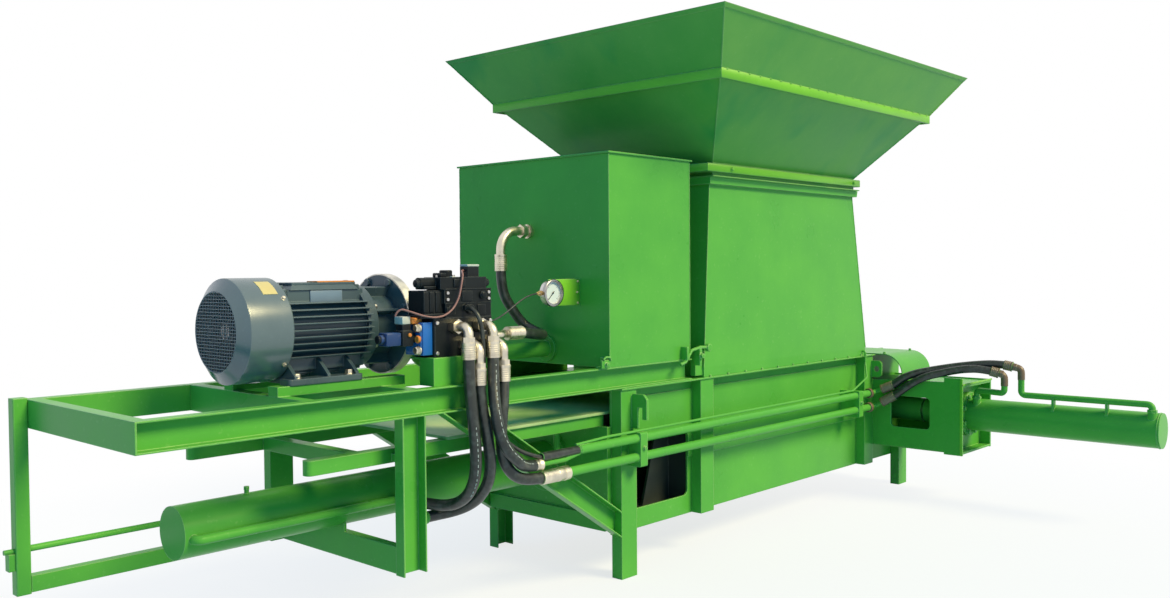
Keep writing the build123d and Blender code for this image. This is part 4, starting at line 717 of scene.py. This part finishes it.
large_cap = [(0, 20), (8, 20), (11, 16), (11, 9), (16, 9), (18, 6)]
small_cap = [(0, 16), (6, 16), (8, 13), (14, 13), (16, 10)]
end_cap = [(0, 19), (12, 19), (14, 15), (20, 15), (22, 10)]
ribs = [slab((-1090, -990), (66, 74), (1262, 1276), 2), slab((-985, -968), (58, 64), (1276, 1300), 2),
        turned((-860, 66, 1290), (0, -1, 0), large_cap, 24),
        turned((-790, 66, 1345), (0, -1, 0), small_cap, 24),
        slab((-1070, -1010), (92, 150), (1371, 1384), 3), slab((-985, -955), (96, 148), (1418, 1436), 4)]
for z in (1257, 1315, 1371):
    ribs.append(slab((-988, -742), (64, 184), (z - 1.5, z + 1.5), 0.5))
ribs += [slab((-1084 + k * 30, -1062 + k * 30), (78, 82), (1280, 1362), 2) for k in range(3)]
ribs += [slab((-970, -935), (63, 70), (1268, 1305), 2), slab((-900, -845), (63, 70), (1322, 1364), 2),
         slab((-820, -775), (61, 70), (1264, 1308), 3), slab((-940, -880), (66, 72), (1380, 1412), 3)]
for x, out in ((-1072, -1), (-735, 1)):
    ribs.append(turned((x, 122, 1395), (out, 0, 0), end_cap, 24))
mesh_piece("valve_ribs_and_caps", ribs, black)

pale_plastic = enamel("pale plastic", (0.62, 0.60, 0.54), (0.52, 0.50, 0.45), (0.75, 0.73, 0.68), 0.45)
mesh_piece("coil_connector_tops", [slab((-842, -778), (98, 146), (1461, 1470), 2),
                                   slab((-938, -920), (80, 100), (1404, 1422), 2)],
           pale_plastic)

blue = enamel("valve blue", (0.012, 0.140, 0.50), (0.008, 0.10, 0.38), (0.08, 0.28, 0.65), 0.32)
pilot = mesh_piece("pilot_block", [slab((-1096, -1048), (72, 182), (1114, 1243), 2.5),
                                   slab((-1101, -1094), (80, 174), (1124, 1233), 2)], blue)
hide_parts("pilot_valve")
plugs = bolt((-1101, 92, 1134), (-1, 0, 0), 28) + bolt((-1101, 92, 1221), (-1, 0, 0), 28)
mesh_piece("pilot_plugs", plugs, zinc)
knob, button = [(0, 15), (9, 15), (12, 12), (12, 6), (10, 5)], [(0, 8), (5, 8), (7, 6)]
mesh_piece("pilot_orange_caps", [turned((-1101, 92, 1178), (-1, 0, 0), knob, 24),
                                 slab((-1128, -1078), (98, 150), (1238, 1262), 5),
                                 turned((-1140, 100, 1196), (0, -1, 0), button, 16)], orange)

core = [(0, 22), (14, 22), (14, 27), (22, 27), (22, 20), (150, 20), (150, 16), (172, 16), (174, 12)]
coil = mesh_piece("pilot_coil", [turned((-1098, 130, 1183), (-1, 0, 0), core, 32),
                                 slab((-1172, -1120), (100, 160), (1152, 1214), 5),
                                 slab((-1166, -1126), (108, 152), (1212, 1240), 4)], black)
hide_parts("pilot_valve")
deep_blue = enamel("coil blue", (0.010, 0.045, 0.17), (0.006, 0.030, 0.12), (0.06, 0.14, 0.34), 0.3)
mesh_piece("pilot_coil_end", [slab((-1246, -1176), (102, 158), (1156, 1208), 6),
                              turned((-1246, 130, 1183), (-1, 0, 0), [(0, 18), (14, 18), (16, 14)], 24)],
           deep_blue)
mesh_piece("pilot_connector", [slab((-1170, -1130), (104, 156), (1238, 1268), 4)], pale_plastic)


# Fittings and ferrules
# Elbows and nuts are steel, zinc plated; each hose is held in a ferrule crimped in rings by a press. The
# side ram's ferrules have weathered to a dark bronze. The rams' rods are hard chromed.

chrome = metal("chrome rod", (0.82, 0.83, 0.85), 0.10, 700.0)
bronze = enamel("weathered ferrule", (0.27, 0.16, 0.09), (0.13, 0.075, 0.042), (0.55, 0.42, 0.30), 0.32)
paint(zinc, "port_elbows", "tank_elbow")
paint(cast, "bell_housing")
paint(chrome, "main_rod", "side_rod")
ferrule_radius = 28.0


def crimped(end, back, length):
    """Ferrule over a hose's end, crimped in rings, with a plain lip at the hose's side."""
    radius = ferrule_radius
    plain, ring_pitch, proud, pressed = 7, 9, radius + 1.6, radius + 0.4
    profile = [(0, radius - 2), (1.5, proud), (6, proud)]
    count = round((length - 2 * plain) / ring_pitch)
    step = (length - 2 * plain) / count
    for k in range(count):
        at = plain + k * (length - 2 * plain) / count
        profile += [(at, proud), (at + step * 0.15, pressed), (at + step * 0.5, pressed),
                    (at + step * 0.65, proud), (at + step * 0.95, proud)]
    profile += [(length - 5, radius + 2.2), (length, radius + 2.2), (length, radius - 3), (0, radius - 4)]
    return ring_of(end, back, profile, 32)


ferrules = [crimped((-953, -32, 1095), (0, 0, 1), 66), crimped((-899, -32, 990), (0, 0, 1), 66),
            crimped((-824, -32, 1095), (0, 0, 1), 66), crimped((-768, -32, 995), (0, 0, 1), 66),
            crimped((-439, 200, 1168), (-1, 0, 0), 90), crimped((-265, 520, 1440), (0, 0, 1), 78),
            crimped((-578, -50, 572), (1, 0, 0), 98)]
mesh_piece("crimped_ferrules", ferrules, zinc)

# The side hoses, each from the ferrule's mouth to the corner of the pipe or elbow that it is fixed to.
pipe_ends = (((2427, -155, 708), (2400, -50, 660)), ((2418, -170, 646), (2385, -50, 572)))
ram_ends = (((2614, -770, 856), (2630, -866, 838)), ((2556, -712, 820), (2580, -786, 800)))
side_ferrules = []
for start, pipe_corner in pipe_ends:
    back = Vector(pipe_corner) - Vector(start)
    side_ferrules.append(crimped(start, back, back.length * 0.64))
for start, top in ram_ends:
    side_ferrules.append(crimped(start, Vector(top) - Vector(start), 49))
mesh_piece("side_ferrules", side_ferrules, bronze)

elbow_radius, elbow_bend, elbow_drop = 20.6, 27, 66
side_nuts = []
for start, top in ram_ends:
    along = (Vector(top) - Vector(start)).normalized()
    side_nuts.append(turned(Vector(start) + along * 52, along, [(0, 24), (20, 24), (22, 20)], 6))
for start, top in ram_ends:
    start, top = Vector(start), Vector(top)
    along = (top - start).normalized()
    before, after = top - along * elbow_bend, top - Vector((0, 0, elbow_bend))
    bend = [before.lerp(top, k / 5).lerp(top.lerp(after, k / 5), k / 5) for k in range(6)]
    elbow_line = [start + along * 50] + bend + [top - Vector((0, 0, elbow_drop))]
    side_nuts.append(rod(elbow_line, elbow_radius, 16))
for z in (660, 572):
    side_nuts.append(turned((2299, -50, z), (1, 0, 0), [(0, 28), (3, 30.5), (21, 30.5), (24, 28)], 24))
mesh_piece("side_nuts", side_nuts, bronze)

lower_nut = [(0, 28), (3, 30.5), (30, 30.5), (32, 29.2), (36, 29.2), (38, 31.5), (64, 31.5), (67, 29)]
upper_nut = [(0, 22), (2, 24), (12, 24.6), (14, 23.4), (26, 23.4), (28, 24.6), (40, 24.6), (42, 21)]
mesh_piece("pipe_nuts", [turned((-480, -50, 572), (1, 0, 0), lower_nut, 24),
                         turned((-616, -50, 630), (1, 0, 0), upper_nut, 24)], zinc)
sleeve = [(0, 14), (3, 18.8), (225, 18.8), (228, 17)]
mesh_piece("pilot_sleeve", [turned((-575, -50, 660), (1, 0, 0), sleeve, 24)], rubber)


# Pipe clamps
# Strap clamps folded from flat bar carry the two long pipes along the ledge; each is drawn up by a bolt
# between the pipes and painted with them.

clamp_bolts = bolt((75, -76, 616), (0, -1, 0), 17) + bolt((2165, -76, 616), (0, -1, 0), 17)
mesh_piece("clamp_bolts", clamp_bolts, green)


# Side ram
# The open-ended box is welded from thick plate; strips and bolts finish its mouth, and the cylinder's
# flange is bolted to the plate inside it.

# The mouth's strips are in the lighter green copy, a painted highlight on their edges.
mouth = [slab((2455, 2461), (-584, -568), (308, 770), 1), slab((2455, 2910), (-584, -579), (728, 740), 1)]
mesh_piece("side_box_lips", mouth, highlit_green)
side_axis_x, side_axis_z, ring_count, ring_radius = 2682.5, 535, 8, 117
ring_bolts = []
for k in range(ring_count):
    angle = math.tau * (k + 0.5) / ring_count
    ring_bolts += bolt((side_axis_x + ring_radius * math.cos(angle), -540,
                        side_axis_z + ring_radius * math.sin(angle)), (0, -1, 0), 26)
mesh_piece("side_flange_bolts", ring_bolts, green)
bead = [(-4, 97), (-2, 100.5), (2, 100.5), (4, 97)]
mesh_piece("side_cylinder_welds", [ring_of((side_axis_x, -1600, side_axis_z), (0, 1, 0), bead)], green)
guard_bolts = bolt((2500, -60, 897), (0, 0, 1), 14) + bolt((2860, -60, 897), (0, 0, 1), 14)
mesh_piece("side_guard_bolts", guard_bolts, green)


# Plates of the main ram: scraped paint, with painted light and painted shade
# Paint soon goes from the plates that scrape on the load. The cover plate behind the ram scrapes to a pale
# grey-green, painted lighter still as painted light where its top lies in shade; the ram's own plates
# scrape to dark steel, painted darker still as a painted shade for the chamber's dark inside.

# The cover plate's scraped grey-green is painted lighter still: painted light on a top that lies in shade.
scraped_and_lit_cover = enamel("scraped cover painted lighter", (0.60, 0.70, 0.34), (0.30, 0.52, 0.17), (0.70, 0.70, 0.50), 0.38, 0.3)
paint(scraped_and_lit_cover, "ram_cover")
# The ram's dark steel is painted darker still: painted shade for the dark inside of the chamber.
shaded_ram_steel = enamel("scraped ram steel painted darker as shade", (0.045, 0.055, 0.045), (0.025, 0.032, 0.027), (0.10, 0.11, 0.10),
                    0.4)
paint(shaded_ram_steel, "main_ram")
